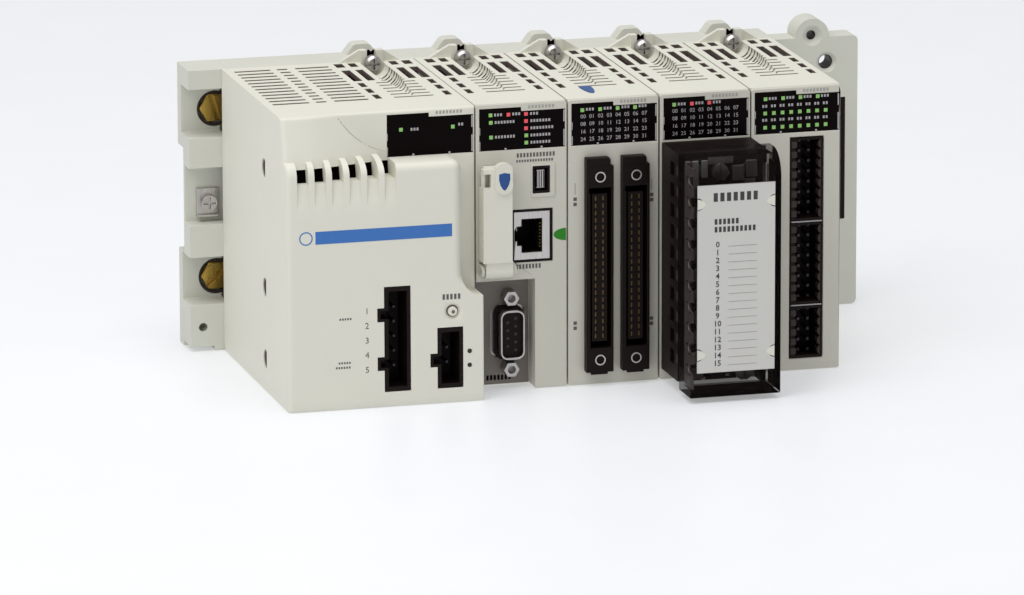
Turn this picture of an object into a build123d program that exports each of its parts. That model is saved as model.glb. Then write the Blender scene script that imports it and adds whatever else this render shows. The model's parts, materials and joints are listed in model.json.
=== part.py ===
from build123d import *
import os

# Modular controller on its rack: a power supply, a processor and three input/output modules.
# The rack's length runs along X, the fronts face -Y and Z is up. The origin is at the bottom
# centre of the whole object. Depths are measured forward from the rack's rear face.

# Driving dimensions, millimetres
RACK_LENGTH = 245.0
TOTAL_DEPTH = 135.3
RACK_DEPTH = 16.5
RACK_END_DEPTH = 10.0
RACK_END_HEIGHT = 97.6
MODULE_HEIGHT = 100.0
MODULE_WIDTH = 32.0
MODULE_PITCH = 32.6
MODULE_FRONT = 99.3
SUPPLY_WIDTH = 68.4
SUPPLY_FRONT = 111.1
BEZEL = 2.0
WALL = 1.8

# Rack
LEFT_END = 12.0
RACK_SHELL = 3.0
DIN_BOTTOM = 34.0
DIN_TOP = 71.0
DIN_DEPTH = 8.0
PLATE = 1.5
FIXING_HEIGHTS = (23.8, 83.7)
FIXING_HOLE_RADIUS = 6.4
SLOT_TILTS = (-50, 15)
CLAMP_HEAD_RADIUS = 5.4
FLANGE = 7.0
GROUND_HEIGHT = 51.8
PANEL_HOLE_RADIUS = 2.6
PANEL_HOLE_HEIGHTS = (8.4, 88.4)
LUG_HEIGHT = 98.2
BOSS_TOP = 103.9
BOSS_FOOT = 6.6
BOSS_FLAT = 2.8
CLAMP_FLOOR = 5.0
GROUND_FLOOR = DIN_DEPTH + 1.6
POCKETS = ((16.5, 33.4, CLAMP_FLOOR), (45.0, 65.2, GROUND_FLOOR), (76.0, 93.1, CLAMP_FLOOR))
SCREW_FROM_LEFT = 16.3
SCREW_HEAD_RADIUS = 2.9
SHANK_RADIUS = 1.5
CLEARANCE = 0.15

# Fronts
WINDOW_BOTTOM = 84.0
WINDOW_TOP = 98.7
TAB_BOTTOM = 97.3
TAB_LEFT = 16.0
LIGHT = 1.25
CONTACT_PITCH = 2.54
CONTACT_ROWS = 20

# Supply front
COVER_STEP = 61.0
COVER_TOP = 84.0
VENT_PITCH = 6.1
VENT_WIDTH = 4.0
VENT_FIRST = 3.5
VENTS = 6
SNAP_DEPTH = 79.3
SNAP_HEIGHTS = (11.2, 36.4, 78.1)
SNAP_REACH = 4.7
SNAP_HALF_HEIGHT = 2.9
RESET_X = 57.5
RESET_Z = 31.7
RESET_RADIUS = 1.6

# Fieldbus plug
PLUG_RECESS = 8.0
PLUG_X = 13.2
PLUG_Z = 18.8
PIN_PITCH = 2.77
JACK_HALF_SPACING = 12.5

# Card door
DOOR_AXIS_HEIGHT = 43.1
DOOR_AXIS_DEPTH = 102.9
DOOR_BARREL = 2.7
DOOR_PIN = 1.0
RUNNING = 0.05

# Terminal block
BLOCK_LEFT = 0.5
BLOCK_RIGHT = 32.1
BLOCK_FRONT = 119.5
BLOCK_BOTTOM = 4.0
BLOCK_TOP = 83.5
COVER_BACK = 121.8
COVER_WALL = 1.5
COVER_LOW = 1.9
COVER_HIGH = 86.0
COVER_AXIS_X = 29.4
COVER_AXIS_DEPTH = 123.6
PIVOT_RADIUS = 0.9
LABEL_LEFT = 2.7
LABEL_RIGHT = 30.2
LABEL_BOTTOM = 10.4
LABEL_TOP = 75.7
LABEL_SEAT = 0.6
WIRE_PITCH = 7.28
WIRE_ROWS = 10
WIRE_FIRST = 10.4
TERMINAL_JACKS = ((14.8, 77.0), (23.5, 6.5))
CLAMP_COLUMNS = (7.0, 25.4)

REAR = TOTAL_DEPTH / 2
RACK_LEFT = -RACK_LENGTH / 2
RACK_RIGHT = RACK_LENGTH / 2
SUPPLY_LEFT = RACK_LEFT + LEFT_END
PROCESSOR_LEFT = SUPPLY_LEFT + SUPPLY_WIDTH + 0.44
DIGITAL_LEFT = PROCESSOR_LEFT + MODULE_PITCH
INPUT_LEFT = DIGITAL_LEFT + MODULE_PITCH
COUNTER_LEFT = INPUT_LEFT + MODULE_PITCH
MODULES_RIGHT = COUNTER_LEFT + MODULE_WIDTH
SUPPLY_SLOT = SUPPLY_LEFT + SUPPLY_WIDTH - MODULE_WIDTH
SLOTS = (SUPPLY_SLOT, PROCESSOR_LEFT, DIGITAL_LEFT, INPUT_LEFT, COUNTER_LEFT)
BEZEL_BACK = MODULE_FRONT - BEZEL
PROFILE_RIGHT = MODULES_RIGHT + 0.6
END_SCREW_X = SUPPLY_LEFT + 0.2
GROUND_X = RACK_LEFT + 8.2


# Helpers

def facing(depth):
    """Plane parallel to the fronts: x runs right, y runs up and the normal points out."""
    return Plane(origin=(0, REAR - depth, 0), x_dir=(1, 0, 0), z_dir=(0, -1, 0))


def block(left, right, back, front, bottom, top, mode=Mode.ADD):
    """A rectangular block in the piece being made; back and front are depths."""
    with Locations(((left + right) / 2, REAR - (back + front) / 2, (bottom + top) / 2)):
        Box(right - left, front - back, top - bottom, mode=mode)


def rod(x, z, back, front, radius, mode=Mode.ADD):
    """A round rod that runs from the back to the front, in the piece being made."""
    with Locations(Location((x, REAR - (back + front) / 2, z), (90, 0, 0))):
        Cylinder(radius, front - back, mode=mode)


def cone(x, z, back, front, back_radius, front_radius, mode=Mode.ADD):
    """A round taper that runs from the back to the front, in the piece being made."""
    with Locations(Location((x, REAR - (back + front) / 2, z), (90, 0, 0))):
        Cone(back_radius, front_radius, front - back, mode=mode)


def cut_window_row(plane, centres, width, height, amount):
    """Cut a group of equal rectangular openings into the piece being made."""
    with BuildSketch(plane) as openings:
        with Locations(*centres):
            Rectangle(width, height)
    extrude(openings.sketch, amount=amount, mode=Mode.SUBTRACT)


def cut_snap_openings(left):
    """Cut the D-shaped snap openings into the supply's left side: flat in front, round behind."""
    flat_y = REAR - SNAP_DEPTH
    with BuildSketch(Plane.YZ.offset(left - 1)) as openings:
        for height in SNAP_HEIGHTS:
            with BuildLine():
                flat = Line((flat_y, height - SNAP_HALF_HEIGHT), (flat_y, height + SNAP_HALF_HEIGHT))
                ThreePointArc(flat @ 1, (flat_y + SNAP_REACH, height), flat @ 0)
            make_face()
    extrude(openings.sketch, amount=WALL + 1.5, mode=Mode.SUBTRACT)


def hexagon(x, z, back, front, radius, mode=Mode.ADD):
    """A hexagonal bar along the depth, in the piece being made."""
    with BuildSketch(facing(back)) as outline:
        with Locations((x, z)):
            RegularPolygon(radius, 6)
    extrude(outline.sketch, amount=front - back, mode=mode)


def save(piece, name):
    """Label the piece and write it as its own STEP file."""
    piece.part.label = name
    export_step(piece.part, f"parts/{name}.step")


# Rack

def make_rack_profile():
    """Long moulded profile, hollow from behind, with a boss and a socket opening for each module."""
    left_edge = SUPPLY_LEFT + 2.0
    with BuildPart() as profile:
        block(left_edge, PROFILE_RIGHT, 0, RACK_DEPTH, 0, MODULE_HEIGHT)
        block(left_edge - 1, PROFILE_RIGHT + 1, -1, RACK_DEPTH - RACK_SHELL, 3, 97, mode=Mode.SUBTRACT)
        # Rounded bosses on the top edge behind the module screws
        for left in SLOTS:
            middle = left + SCREW_FROM_LEFT
            with BuildSketch(facing(0)) as boss:
                with BuildLine():
                    Polyline((middle - BOSS_FOOT, 99.0), (middle + BOSS_FOOT, 99.0),
                             (middle + BOSS_FLAT, BOSS_TOP), (middle - BOSS_FLAT, BOSS_TOP), close=True)
                make_face()
                fillet(boss.vertices().group_by(Axis.Y)[-1], BOSS_FLAT - 0.6)
            extrude(boss.sketch, amount=6.0)
        for left in SLOTS:
            block(left + 7.7, left + 24.3, RACK_DEPTH - RACK_SHELL - 1, RACK_DEPTH + 1, 27.7, 64.3,
                  mode=Mode.SUBTRACT)
            rod(left + SCREW_FROM_LEFT, MODULE_HEIGHT, 1.5, RACK_DEPTH + 1, SHANK_RADIUS + CLEARANCE,
                mode=Mode.SUBTRACT)
    save(profile, "rack_profile")


def make_rack_left_end():
    """Left end of the rack: pockets for two clamp screws and for the ground terminal."""
    right = SUPPLY_LEFT + 2.0
    with BuildPart() as end:
        block(RACK_LEFT, right, 0, RACK_DEPTH, 0, MODULE_HEIGHT)
        # Foot: set back and narrower at the very bottom
        block(RACK_LEFT - 1, RACK_LEFT + 8.6, 6.0, RACK_DEPTH + 1, -1, 1.6, mode=Mode.SUBTRACT)
        block(RACK_LEFT - 1, right + 1, -1, DIN_DEPTH, DIN_BOTTOM, DIN_TOP, mode=Mode.SUBTRACT)
        for bottom, top, floor in POCKETS:
            block(RACK_LEFT - 1, right + 1, floor, RACK_DEPTH + 1, bottom, top, mode=Mode.SUBTRACT)
        # Thin flanges behind the clamp screws
        block(right, SUPPLY_LEFT + FLANGE, 0, 1.2, 3.2, DIN_BOTTOM - 1.9)
        block(right, SUPPLY_LEFT + FLANGE, 0, 1.2, DIN_TOP + 1.9, 96.8)
        for height in FIXING_HEIGHTS:
            rod(END_SCREW_X, height, 1.2, CLAMP_FLOOR + 1, FIXING_HOLE_RADIUS, mode=Mode.SUBTRACT)
            rod(END_SCREW_X, height, -1.0, 2.0, 2.65, mode=Mode.SUBTRACT)
        rod(GROUND_X, GROUND_HEIGHT, 8.5, RACK_DEPTH, 1.6, mode=Mode.SUBTRACT)
        rod(RACK_LEFT + 4.6, 8.4, 10.0, RACK_DEPTH + 1, 1.55, mode=Mode.SUBTRACT)
    save(end, "rack_left_end")


def make_rack_right_end():
    """Right end plate of the rack: lug with a thread, panel fixing holes and the extension slot."""
    lug_x = RACK_LEFT + 228.1
    hole_x = RACK_LEFT + 233.4
    with BuildPart() as end:
        block(PROFILE_RIGHT, RACK_RIGHT, 0, RACK_END_DEPTH, 0, RACK_END_HEIGHT)
        fillet(end.edges().filter_by(Axis.Y).group_by(Axis.X)[-1], 2.0)
        rod(lug_x, LUG_HEIGHT, 0, RACK_END_DEPTH, 6.2)
        block(PROFILE_RIGHT - 1, RACK_RIGHT + 1, -1, DIN_DEPTH, DIN_BOTTOM, DIN_TOP, mode=Mode.SUBTRACT)
        cone(lug_x, LUG_HEIGHT, RACK_END_DEPTH - 1.6, RACK_END_DEPTH + 0.01, 1.7, 3.7, mode=Mode.SUBTRACT)
        rod(lug_x, LUG_HEIGHT, -1, RACK_END_DEPTH, 1.7, mode=Mode.SUBTRACT)
        for height in PANEL_HOLE_HEIGHTS:
            rod(hole_x, height, -1, RACK_END_DEPTH, PANEL_HOLE_RADIUS, mode=Mode.SUBTRACT)
            cone(hole_x, height, RACK_END_DEPTH - 1.2, RACK_END_DEPTH + 0.01, PANEL_HOLE_RADIUS, 3.8,
                 mode=Mode.SUBTRACT)
        block(RACK_LEFT + 230.0, RACK_LEFT + 240.5, -1, RACK_END_DEPTH + 1, 35.0, 70.0, mode=Mode.SUBTRACT)
        block(RACK_LEFT + 230.0, RACK_LEFT + 240.5, DIN_DEPTH, RACK_END_DEPTH + 1, 31.2, 75.5,
              mode=Mode.SUBTRACT)
    save(end, "rack_right_end")


def make_rear_plate():
    """Zinc-plated plate that closes the frame from behind and forms the rail channel."""
    left = SUPPLY_LEFT + 2.2
    flange_left = SUPPLY_LEFT + FLANGE + 0.2
    right = PROFILE_RIGHT - 0.2
    with BuildPart() as plate:
        block(flange_left, right, 0.2, 0.2 + PLATE, 3.2, DIN_BOTTOM - 0.2)
        block(left, right, 0.2, DIN_DEPTH + 0.2 + PLATE, DIN_BOTTOM - 0.2 - PLATE, DIN_BOTTOM - 0.2)
        block(left, right, DIN_DEPTH + 0.2, DIN_DEPTH + 0.2 + PLATE, DIN_BOTTOM - 0.2, DIN_TOP + 0.2)
        block(left, right, 0.2, DIN_DEPTH + 0.2 + PLATE, DIN_TOP + 0.2, DIN_TOP + 0.2 + PLATE)
        block(flange_left, right, 0.2, 0.2 + PLATE, DIN_TOP + 0.2, 96.8)
    save(plate, "rack_rear_plate")


def make_bus():
    """Backplane board with a socket for each module, and the plug of each module."""
    board_back = 10.2
    board_front = 11.8
    with BuildPart() as board:
        block(SUPPLY_LEFT + 8, MODULES_RIGHT - 3, board_back, board_front, 12, 90)
        for left in SLOTS:
            rod(left + 4, 18, 9, 13, 1.6, mode=Mode.SUBTRACT)
    save(board, "bus_board")

    with BuildPart() as sockets:
        for left in SLOTS:
            block(left + 8, left + 24, board_front, RACK_DEPTH - 0.2, 28, 64)
            block(left + 11, left + 21, 13.2, RACK_DEPTH, 31, 61, mode=Mode.SUBTRACT)
    save(sockets, "bus_sockets")

    with BuildPart() as plugs:
        for left in SLOTS:
            block(left + 9, left + 23, RACK_DEPTH + 0.1, 22, 29, 63)
            block(left + 11.3, left + 20.7, 13.4, RACK_DEPTH + 0.1, 31.3, 60.7)
    save(plugs, "bus_plugs")


def make_extension_connector():
    """Flat socket at the right end for an extension rack's cable."""
    left = RACK_LEFT + 230.1
    right = RACK_LEFT + 240.4
    with BuildPart() as connector:
        block(left, right, DIN_DEPTH + 0.1, RACK_END_DEPTH, 31.3, 75.4)
        block(left + 4, right - 4, RACK_END_DEPTH - 1.2, RACK_END_DEPTH + 1, 36, 70, mode=Mode.SUBTRACT)
    save(connector, "extension_connector")


def make_rack_screws():
    """Brass clamp screws, the ground terminal and the captive screws of the modules."""
    with BuildPart() as clamps:
        for height, tilt in zip(FIXING_HEIGHTS, SLOT_TILTS):
            hexagon(END_SCREW_X, height, 1.4, 4.2, CLAMP_HEAD_RADIUS)
            rod(END_SCREW_X, height, 4.2, 4.6, CLAMP_HEAD_RADIUS - 0.9)
            rod(END_SCREW_X, height, 0.2, 1.4, 2.5)
            with BuildSketch(facing(CLAMP_FLOOR)) as slot:
                with Locations(Location((END_SCREW_X, height), tilt)):
                    Rectangle(1.8, 4 * CLAMP_HEAD_RADIUS)
            extrude(slot.sketch, amount=-2.2, mode=Mode.SUBTRACT)
    save(clamps, "rack_clamp_screws")

    floor = GROUND_FLOOR
    with BuildPart() as clamp:
        block(GROUND_X - 4.2, GROUND_X + 3.6, floor, floor + 1.2, 46.8, 56.8)
        block(GROUND_X - 4.2, GROUND_X + 3.6, floor + 1.2, floor + 2.6, 46.8, 47.6)
        rod(GROUND_X, GROUND_HEIGHT, floor - 1, floor + 3, 1.7, mode=Mode.SUBTRACT)
    save(clamp, "ground_clamp")

    with BuildPart() as screw:
        rod(GROUND_X, GROUND_HEIGHT, floor + 1.2, floor + 3.4, 2.8)
        rod(GROUND_X, GROUND_HEIGHT, floor - 1.0, floor + 1.2, 1.5)
        block(GROUND_X - 0.4, GROUND_X + 0.4, floor + 2.3, floor + 4, GROUND_HEIGHT - 2.2,
              GROUND_HEIGHT + 2.2, mode=Mode.SUBTRACT)
        block(GROUND_X - 2.2, GROUND_X + 2.2, floor + 2.3, floor + 4, GROUND_HEIGHT - 0.4,
              GROUND_HEIGHT + 0.4, mode=Mode.SUBTRACT)
    save(screw, "ground_screw")

    with BuildPart() as screws:
        for left in SLOTS:
            x = left + SCREW_FROM_LEFT
            rod(x, MODULE_HEIGHT, 2.5, 20.6, SHANK_RADIUS)
            rod(x, MODULE_HEIGHT, 20.5, 22.6, SCREW_HEAD_RADIUS)
            cone(x, MODULE_HEIGHT, 22.6, 23.6, SCREW_HEAD_RADIUS, 2.0)
            block(x - 0.4, x + 0.4, 22.2, 24, MODULE_HEIGHT - 2, MODULE_HEIGHT + 2, mode=Mode.SUBTRACT)
            block(x - 2, x + 2, 22.2, 24, MODULE_HEIGHT - 0.4, MODULE_HEIGHT + 0.4, mode=Mode.SUBTRACT)
    save(screws, "module_screws")


# Module housings

def add_screw_ear(left):
    """Trapezoid ear behind the top screw, with its notch, in the housing being made."""
    with BuildSketch(facing(RACK_DEPTH)) as ear:
        with BuildLine():
            Polyline((left + 5, 98), (left + 27, 98), (left + 27, 100), (left + 20.4, 104.3),
                     (left + 12.5, 104.3), (left + 5, 100), close=True)
        make_face()
    extrude(ear.sketch, amount=WALL)
    block(left + 12.5, left + 20.4, RACK_DEPTH, RACK_DEPTH + 3.4, 100, 104.3)
    block(left + 14.7, left + 17.9, RACK_DEPTH - 1, RACK_DEPTH + 5, 100, 105, mode=Mode.SUBTRACT)


def add_screw_channel(left):
    """Half-round channel that guides a screwdriver down to the screw."""
    x = left + SCREW_FROM_LEFT
    rod(x, MODULE_HEIGHT, RACK_DEPTH, 40, 5.4)
    cone(x, MODULE_HEIGHT, 40, 76, 5.4, 1.8)


def cut_screw_channel(left):
    """Open the channel's inside and the shank's hole, and trim it to the top face."""
    x = left + SCREW_FROM_LEFT
    rod(x, MODULE_HEIGHT, 19.9, 40, 4.1, mode=Mode.SUBTRACT)
    cone(x, MODULE_HEIGHT, 40, 76, 4.1, 0.5, mode=Mode.SUBTRACT)
    rod(x, MODULE_HEIGHT, RACK_DEPTH - 1, 21, SHANK_RADIUS + CLEARANCE, mode=Mode.SUBTRACT)


def cut_top_pattern(left):
    """Cooling openings in a module's top face, at its right 32 mm."""
    top = Plane.XY.offset(MODULE_HEIGHT)
    x = left + SCREW_FROM_LEFT
    long_rows = [(x, REAR - depth) for depth in (53.4, 58.0, 63.0, 68.0, 73.0, 78.0)]
    cut_window_row(top, long_rows, 13.9, 1.5, -7)
    short_rows = [(x, REAR - depth) for depth in (49.6, 46.2, 42.8, 39.4, 36.0, 32.6, 29.2)]
    cut_window_row(top, short_rows, 8.2, 1.5, -7)
    for depth, length in ((39.7, 18.5), (22.4, 6.4)):
        outer = [(left + x_side, REAR - depth) for x_side in (4.2, 28.4)]
        inner = [(left + x_side, REAR - depth) for x_side in (9.0, 23.6)]
        cut_window_row(top, outer, 3.2, length, -4)
        cut_window_row(top, inner, 2.8, length, -4)
    side = [(left + x_side, REAR - depth) for x_side in (4.0, 28.6) for depth in (55.5, 65.3, 75.3)]
    cut_window_row(top, side, 2.3, 7.0, -4)


def make_housing(left, width, name, supply=False, recess=False):
    """Rear shell of a module: open in front, with cooling grilles and a hole for the bus plug."""
    slot = left + width - MODULE_WIDTH
    with BuildPart() as housing:
        block(left, left + width, RACK_DEPTH + 0.1, BEZEL_BACK, 0, MODULE_HEIGHT)
        fillet(housing.edges().filter_by(Axis.X).group_by(Axis.Y)[-1].group_by(Axis.Z)[0], 4.0)
        block(left + WALL, left + width - WALL, RACK_DEPTH + WALL, BEZEL_BACK + 1, WALL,
              MODULE_HEIGHT - WALL, mode=Mode.SUBTRACT)
        add_screw_channel(slot)
        block(left - 1, left + width + 1, RACK_DEPTH - 1, BEZEL_BACK + 1, MODULE_HEIGHT,
              MODULE_HEIGHT + 9, mode=Mode.SUBTRACT)
        add_screw_ear(slot)
        cut_screw_channel(slot)
        cut_top_pattern(slot)
        block(slot + 8.8, slot + 23.2, RACK_DEPTH - 1, RACK_DEPTH + 3, 28.8, 63.2, mode=Mode.SUBTRACT)
        bottom = Plane.XY
        rows = [(left + width / 2, REAR - depth) for depth in range(26, 90, 6)]
        cut_window_row(bottom, rows, width - 10, 2.2, WALL + 1)
        if recess:
            block(left - 1, left + 22.5, MODULE_FRONT - 9.7, BEZEL_BACK + 1, -1, 40.1, mode=Mode.SUBTRACT)
        if supply:
            top = Plane.XY.offset(MODULE_HEIGHT)
            grille = [REAR - 17.9 - 5.05 * row for row in range(13)]
            cut_window_row(top, [(left + 9.4, y) for y in grille[1:]], 12.8, 2.0, -3)
            cut_window_row(top, [(left + 20.0, y) for y in grille[1:]], 3.7, 2.0, -3)
            cut_window_row(top, [(left + 30.6, y) for y in grille[1:]], 12.0, 2.0, -3)
            cut_snap_openings(left)
    save(housing, name)


# Fronts

def window_outline(left, right, gap):
    """Outline of an indicator window, lower on the right where the label tab is."""
    return ((left + 1.2 + gap, WINDOW_BOTTOM + gap), (right - 0.5 - gap, WINDOW_BOTTOM + gap),
            (right - 0.5 - gap, TAB_BOTTOM - gap), (left + TAB_LEFT - gap, TAB_BOTTOM - gap),
            (left + TAB_LEFT - gap, WINDOW_TOP - gap), (left + 1.2 + gap, WINDOW_TOP - gap))


def make_window(left, name):
    """Dark indicator window, clipped into the front."""
    with BuildPart() as window:
        with BuildSketch(facing(MODULE_FRONT - 0.2)):
            with BuildLine():
                Polyline(*window_outline(left, left + MODULE_WIDTH, 0.1), close=True)
            make_face()
        extrude(amount=-(BEZEL - 0.3))
    save(window, name)


def cut_window(left):
    """Opening for the indicator window in the front being made."""
    with BuildSketch(facing(MODULE_FRONT + 1)) as opening:
        with BuildLine():
            Polyline(*window_outline(left, left + MODULE_WIDTH, 0), close=True)
        make_face()
    extrude(opening.sketch, amount=-(BEZEL + 2), mode=Mode.SUBTRACT)


def add_front_plate(left):
    """Front plate of a module with rounded corners, and the tongues that snap into the housing."""
    with BuildSketch(facing(BEZEL_BACK)) as plate:
        with Locations((left + MODULE_WIDTH / 2, MODULE_HEIGHT / 2)):
            RectangleRounded(MODULE_WIDTH, MODULE_HEIGHT, 0.8)
    extrude(plate.sketch, amount=BEZEL)
    for height in (12.0, 72.0):
        block(left + WALL + 0.1, left + WALL + 1.3, BEZEL_BACK - 8, BEZEL_BACK, height, height + 8)


def make_processor_front():
    """Processor front: openings for card, USB and network, and a recess for the fieldbus plug."""
    left = PROCESSOR_LEFT
    floor = MODULE_FRONT - PLUG_RECESS
    with BuildPart() as front:
        add_front_plate(left)
        block(left + 0.2, left + 22.4, floor - 1.6, BEZEL_BACK, 0.2, 40.0)
        block(left - 1, left + 20.8, floor, MODULE_FRONT + 1, -1, 38.5, mode=Mode.SUBTRACT)
        block(left + 7.2, left + 19.2, floor - 3, floor + 1, 9.6, 28.0, mode=Mode.SUBTRACT)
        for height in (PLUG_Z - JACK_HALF_SPACING, PLUG_Z + JACK_HALF_SPACING):
            rod(left + PLUG_X, height, floor - 3, floor + 1, 1.6, mode=Mode.SUBTRACT)
        cut_window(left)
        block(left + 19.9, left + 26.1, BEZEL_BACK - 1, MODULE_FRONT + 1, 68.3, 77.9, mode=Mode.SUBTRACT)
        block(left + 13.0, left + 26.3, BEZEL_BACK - 1, MODULE_FRONT + 1, 45.1, 62.4, mode=Mode.SUBTRACT)
        block(left + 3.2, left + 8.6, BEZEL_BACK - 1, MODULE_FRONT + 1, 47.5, 71.0, mode=Mode.SUBTRACT)
        # Lugs that hold the card door's pin
        for x in (left + 0.6, left + 11.8):
            block(x, x + 1.1, MODULE_FRONT, DOOR_AXIS_DEPTH, DOOR_AXIS_HEIGHT - 2.0, DOOR_AXIS_HEIGHT + 2.0)
            with Locations(Location((x + 0.55, REAR - DOOR_AXIS_DEPTH, DOOR_AXIS_HEIGHT), (0, 90, 0))):
                Cylinder(2.0, 1.1)
        with Locations(Location((left + 6.7, REAR - DOOR_AXIS_DEPTH, DOOR_AXIS_HEIGHT), (0, 90, 0))):
            Cylinder(DOOR_PIN, 20, mode=Mode.SUBTRACT)
    save(front, "processor_front")


def make_card_door():
    """Door over the memory card, with its hinge barrel, latch finger and separate pin."""
    left = PROCESSOR_LEFT
    back = MODULE_FRONT + 0.3
    front_depth = 106.2
    with BuildPart() as door:
        block(left + 0.8, left + 11.0, back, front_depth, 46.4, 79.0)
        block(left + 0.8, left + 3.5, 103.5, front_depth + 1, 72.6, 77.5, mode=Mode.SUBTRACT)
        block(left + 2.1, left + 9.7, back - 1, 104.2, 47.6, 77.6, mode=Mode.SUBTRACT)
        block(left + 0.8, left + 2.1, back - 1, 103.0, 72.0, 80.0, mode=Mode.SUBTRACT)
        # Web down to the hinge barrel
        block(left + 2.0, left + 11.4, 103.0, 105.5, DOOR_AXIS_HEIGHT, 46.5)
        with Locations(Location((left + 6.7, REAR - DOOR_AXIS_DEPTH, DOOR_AXIS_HEIGHT), (0, 90, 0))):
            Cylinder(DOOR_BARREL, 9.6)
            Cylinder(DOOR_PIN + RUNNING, 12, mode=Mode.SUBTRACT)
        # Latch finger over the top edge
        with BuildSketch(facing(104.6)) as finger:
            with BuildLine():
                tip = ThreePointArc((left + 4.9, 79.6), (left + 7.9, 81.2), (left + 10.9, 79.6))
                lower = ThreePointArc((left + 10.9, 74.5), (left + 7.9, 70.3), (left + 4.9, 74.5))
                Line(tip @ 1, lower @ 0)
                Line(lower @ 1, tip @ 0)
            make_face()
        extrude(finger.sketch, amount=2.3)
    save(door, "card_door")

    with BuildPart() as pin:
        with Locations(Location((left + 6.75, REAR - DOOR_AXIS_DEPTH, DOOR_AXIS_HEIGHT), (0, 90, 0))):
            Cylinder(DOOR_PIN, 12.3)
    save(pin, "card_door_pin")


def make_card():
    """Memory card and the holder that it slides into."""
    left = PROCESSOR_LEFT
    with BuildPart() as holder:
        block(left + 2.2, left + 9.6, 66.0, 96.8, 46.5, 72.0)
        block(left + 4.4, left + 7.4, 68.0, 97.5, 47.5, 71.0, mode=Mode.SUBTRACT)
    save(holder, "card_holder")

    with BuildPart() as card:
        block(left + 4.8, left + 7.0, 69.0, 100.5, 47.9, 70.6)
        block(left + 4.5, left + 5.2, 98.0, 101.0, 55.0, 64.0, mode=Mode.SUBTRACT)
    save(card, "memory_card")


def make_processor_ports():
    """USB port, network socket and nine-way fieldbus plug with its hexagonal jack screws."""
    left = PROCESSOR_LEFT
    with BuildPart() as usb:
        block(left + 20.1, left + 25.9, 86.0, MODULE_FRONT, 68.5, 77.7)
        block(left + 20.6, left + 25.4, 88.0, MODULE_FRONT + 1, 69.0, 77.2, mode=Mode.SUBTRACT)
        block(left + 21.5, left + 24.5, 87.5, MODULE_FRONT - 1.0, 69.9, 76.3)
    save(usb, "usb_port")

    with BuildPart() as network:
        block(left + 13.2, left + 26.0, 82.0, MODULE_FRONT + 0.3, 45.4, 62.1)
        block(left + 16.0, left + 23.2, 84.0, MODULE_FRONT + 1, 47.9, 59.6, mode=Mode.SUBTRACT)
        block(left + 14.4, left + 16.5, 84.0, MODULE_FRONT + 1, 50.4, 57.1, mode=Mode.SUBTRACT)
        block(left + 13.6, left + 15.5, 84.0, MODULE_FRONT + 1, 52.0, 55.5, mode=Mode.SUBTRACT)
    save(network, "network_socket")

    floor = MODULE_FRONT - PLUG_RECESS
    x = left + PLUG_X
    z = PLUG_Z
    with BuildPart() as fieldbus:
        block(x - 6.3, x + 6.3, floor - 2.7, floor - 1.7, z - 15.4, z + 15.4)
        block(x - 5.6, x + 5.6, floor - 8, floor - 1.8, z - 8.6, z + 8.6)
        with BuildSketch(facing(floor - 1.8)) as base:
            with Locations((x, z)):
                RectangleRounded(10.2, 18.2, 3.2)
        extrude(base.sketch, amount=3.0)
        with BuildSketch(facing(floor + 1.0)) as shell:
            with Locations((x, z)):
                RectangleRounded(8.4, 17.0, 2.6)
        extrude(shell.sketch, amount=6.0)
        with BuildSketch(facing(floor + 7.5)) as inside:
            with Locations((x, z)):
                RectangleRounded(7.4, 16.0, 2.1)
        extrude(inside.sketch, amount=-6.0, mode=Mode.SUBTRACT)
        for height in (z - JACK_HALF_SPACING, z + JACK_HALF_SPACING):
            rod(x, height, floor - 3, floor + 2, 1.55, mode=Mode.SUBTRACT)
    save(fieldbus, "fieldbus_plug")

    with BuildPart() as pins:
        with BuildSketch(facing(floor + 1.6)):
            with Locations(*[(x - 1.42, z + PIN_PITCH * (row - 1.5)) for row in range(4)],
                           *[(x + 1.42, z + PIN_PITCH * (row - 2)) for row in range(5)]):
                Circle(0.5)
        extrude(amount=3.8)
    save(pins, "fieldbus_pins")

    with BuildPart() as nuts:
        for height in (z - JACK_HALF_SPACING, z + JACK_HALF_SPACING):
            hexagon(x, height, floor + 0.05, floor + 5.5, 2.8)
            rod(x, height, floor - 5, floor + 0.1, 1.45)
            rod(x, height, floor + 2, floor + 7, 1.35, mode=Mode.SUBTRACT)
    save(nuts, "jack_screws")


def connector_columns():
    """Left edges of the two 40-way connectors."""
    return (DIGITAL_LEFT + 5.6, DIGITAL_LEFT + 18.4)


def make_digital_front():
    """Front of the 64-channel module with openings for its two 40-way connectors."""
    with BuildPart() as front:
        add_front_plate(DIGITAL_LEFT)
        cut_window(DIGITAL_LEFT)
        for x in connector_columns():
            block(x + 0.2, x + 9.4, BEZEL_BACK - 1, MODULE_FRONT + 1, 6.0, 78.8, mode=Mode.SUBTRACT)
    save(front, "digital_front")


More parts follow.
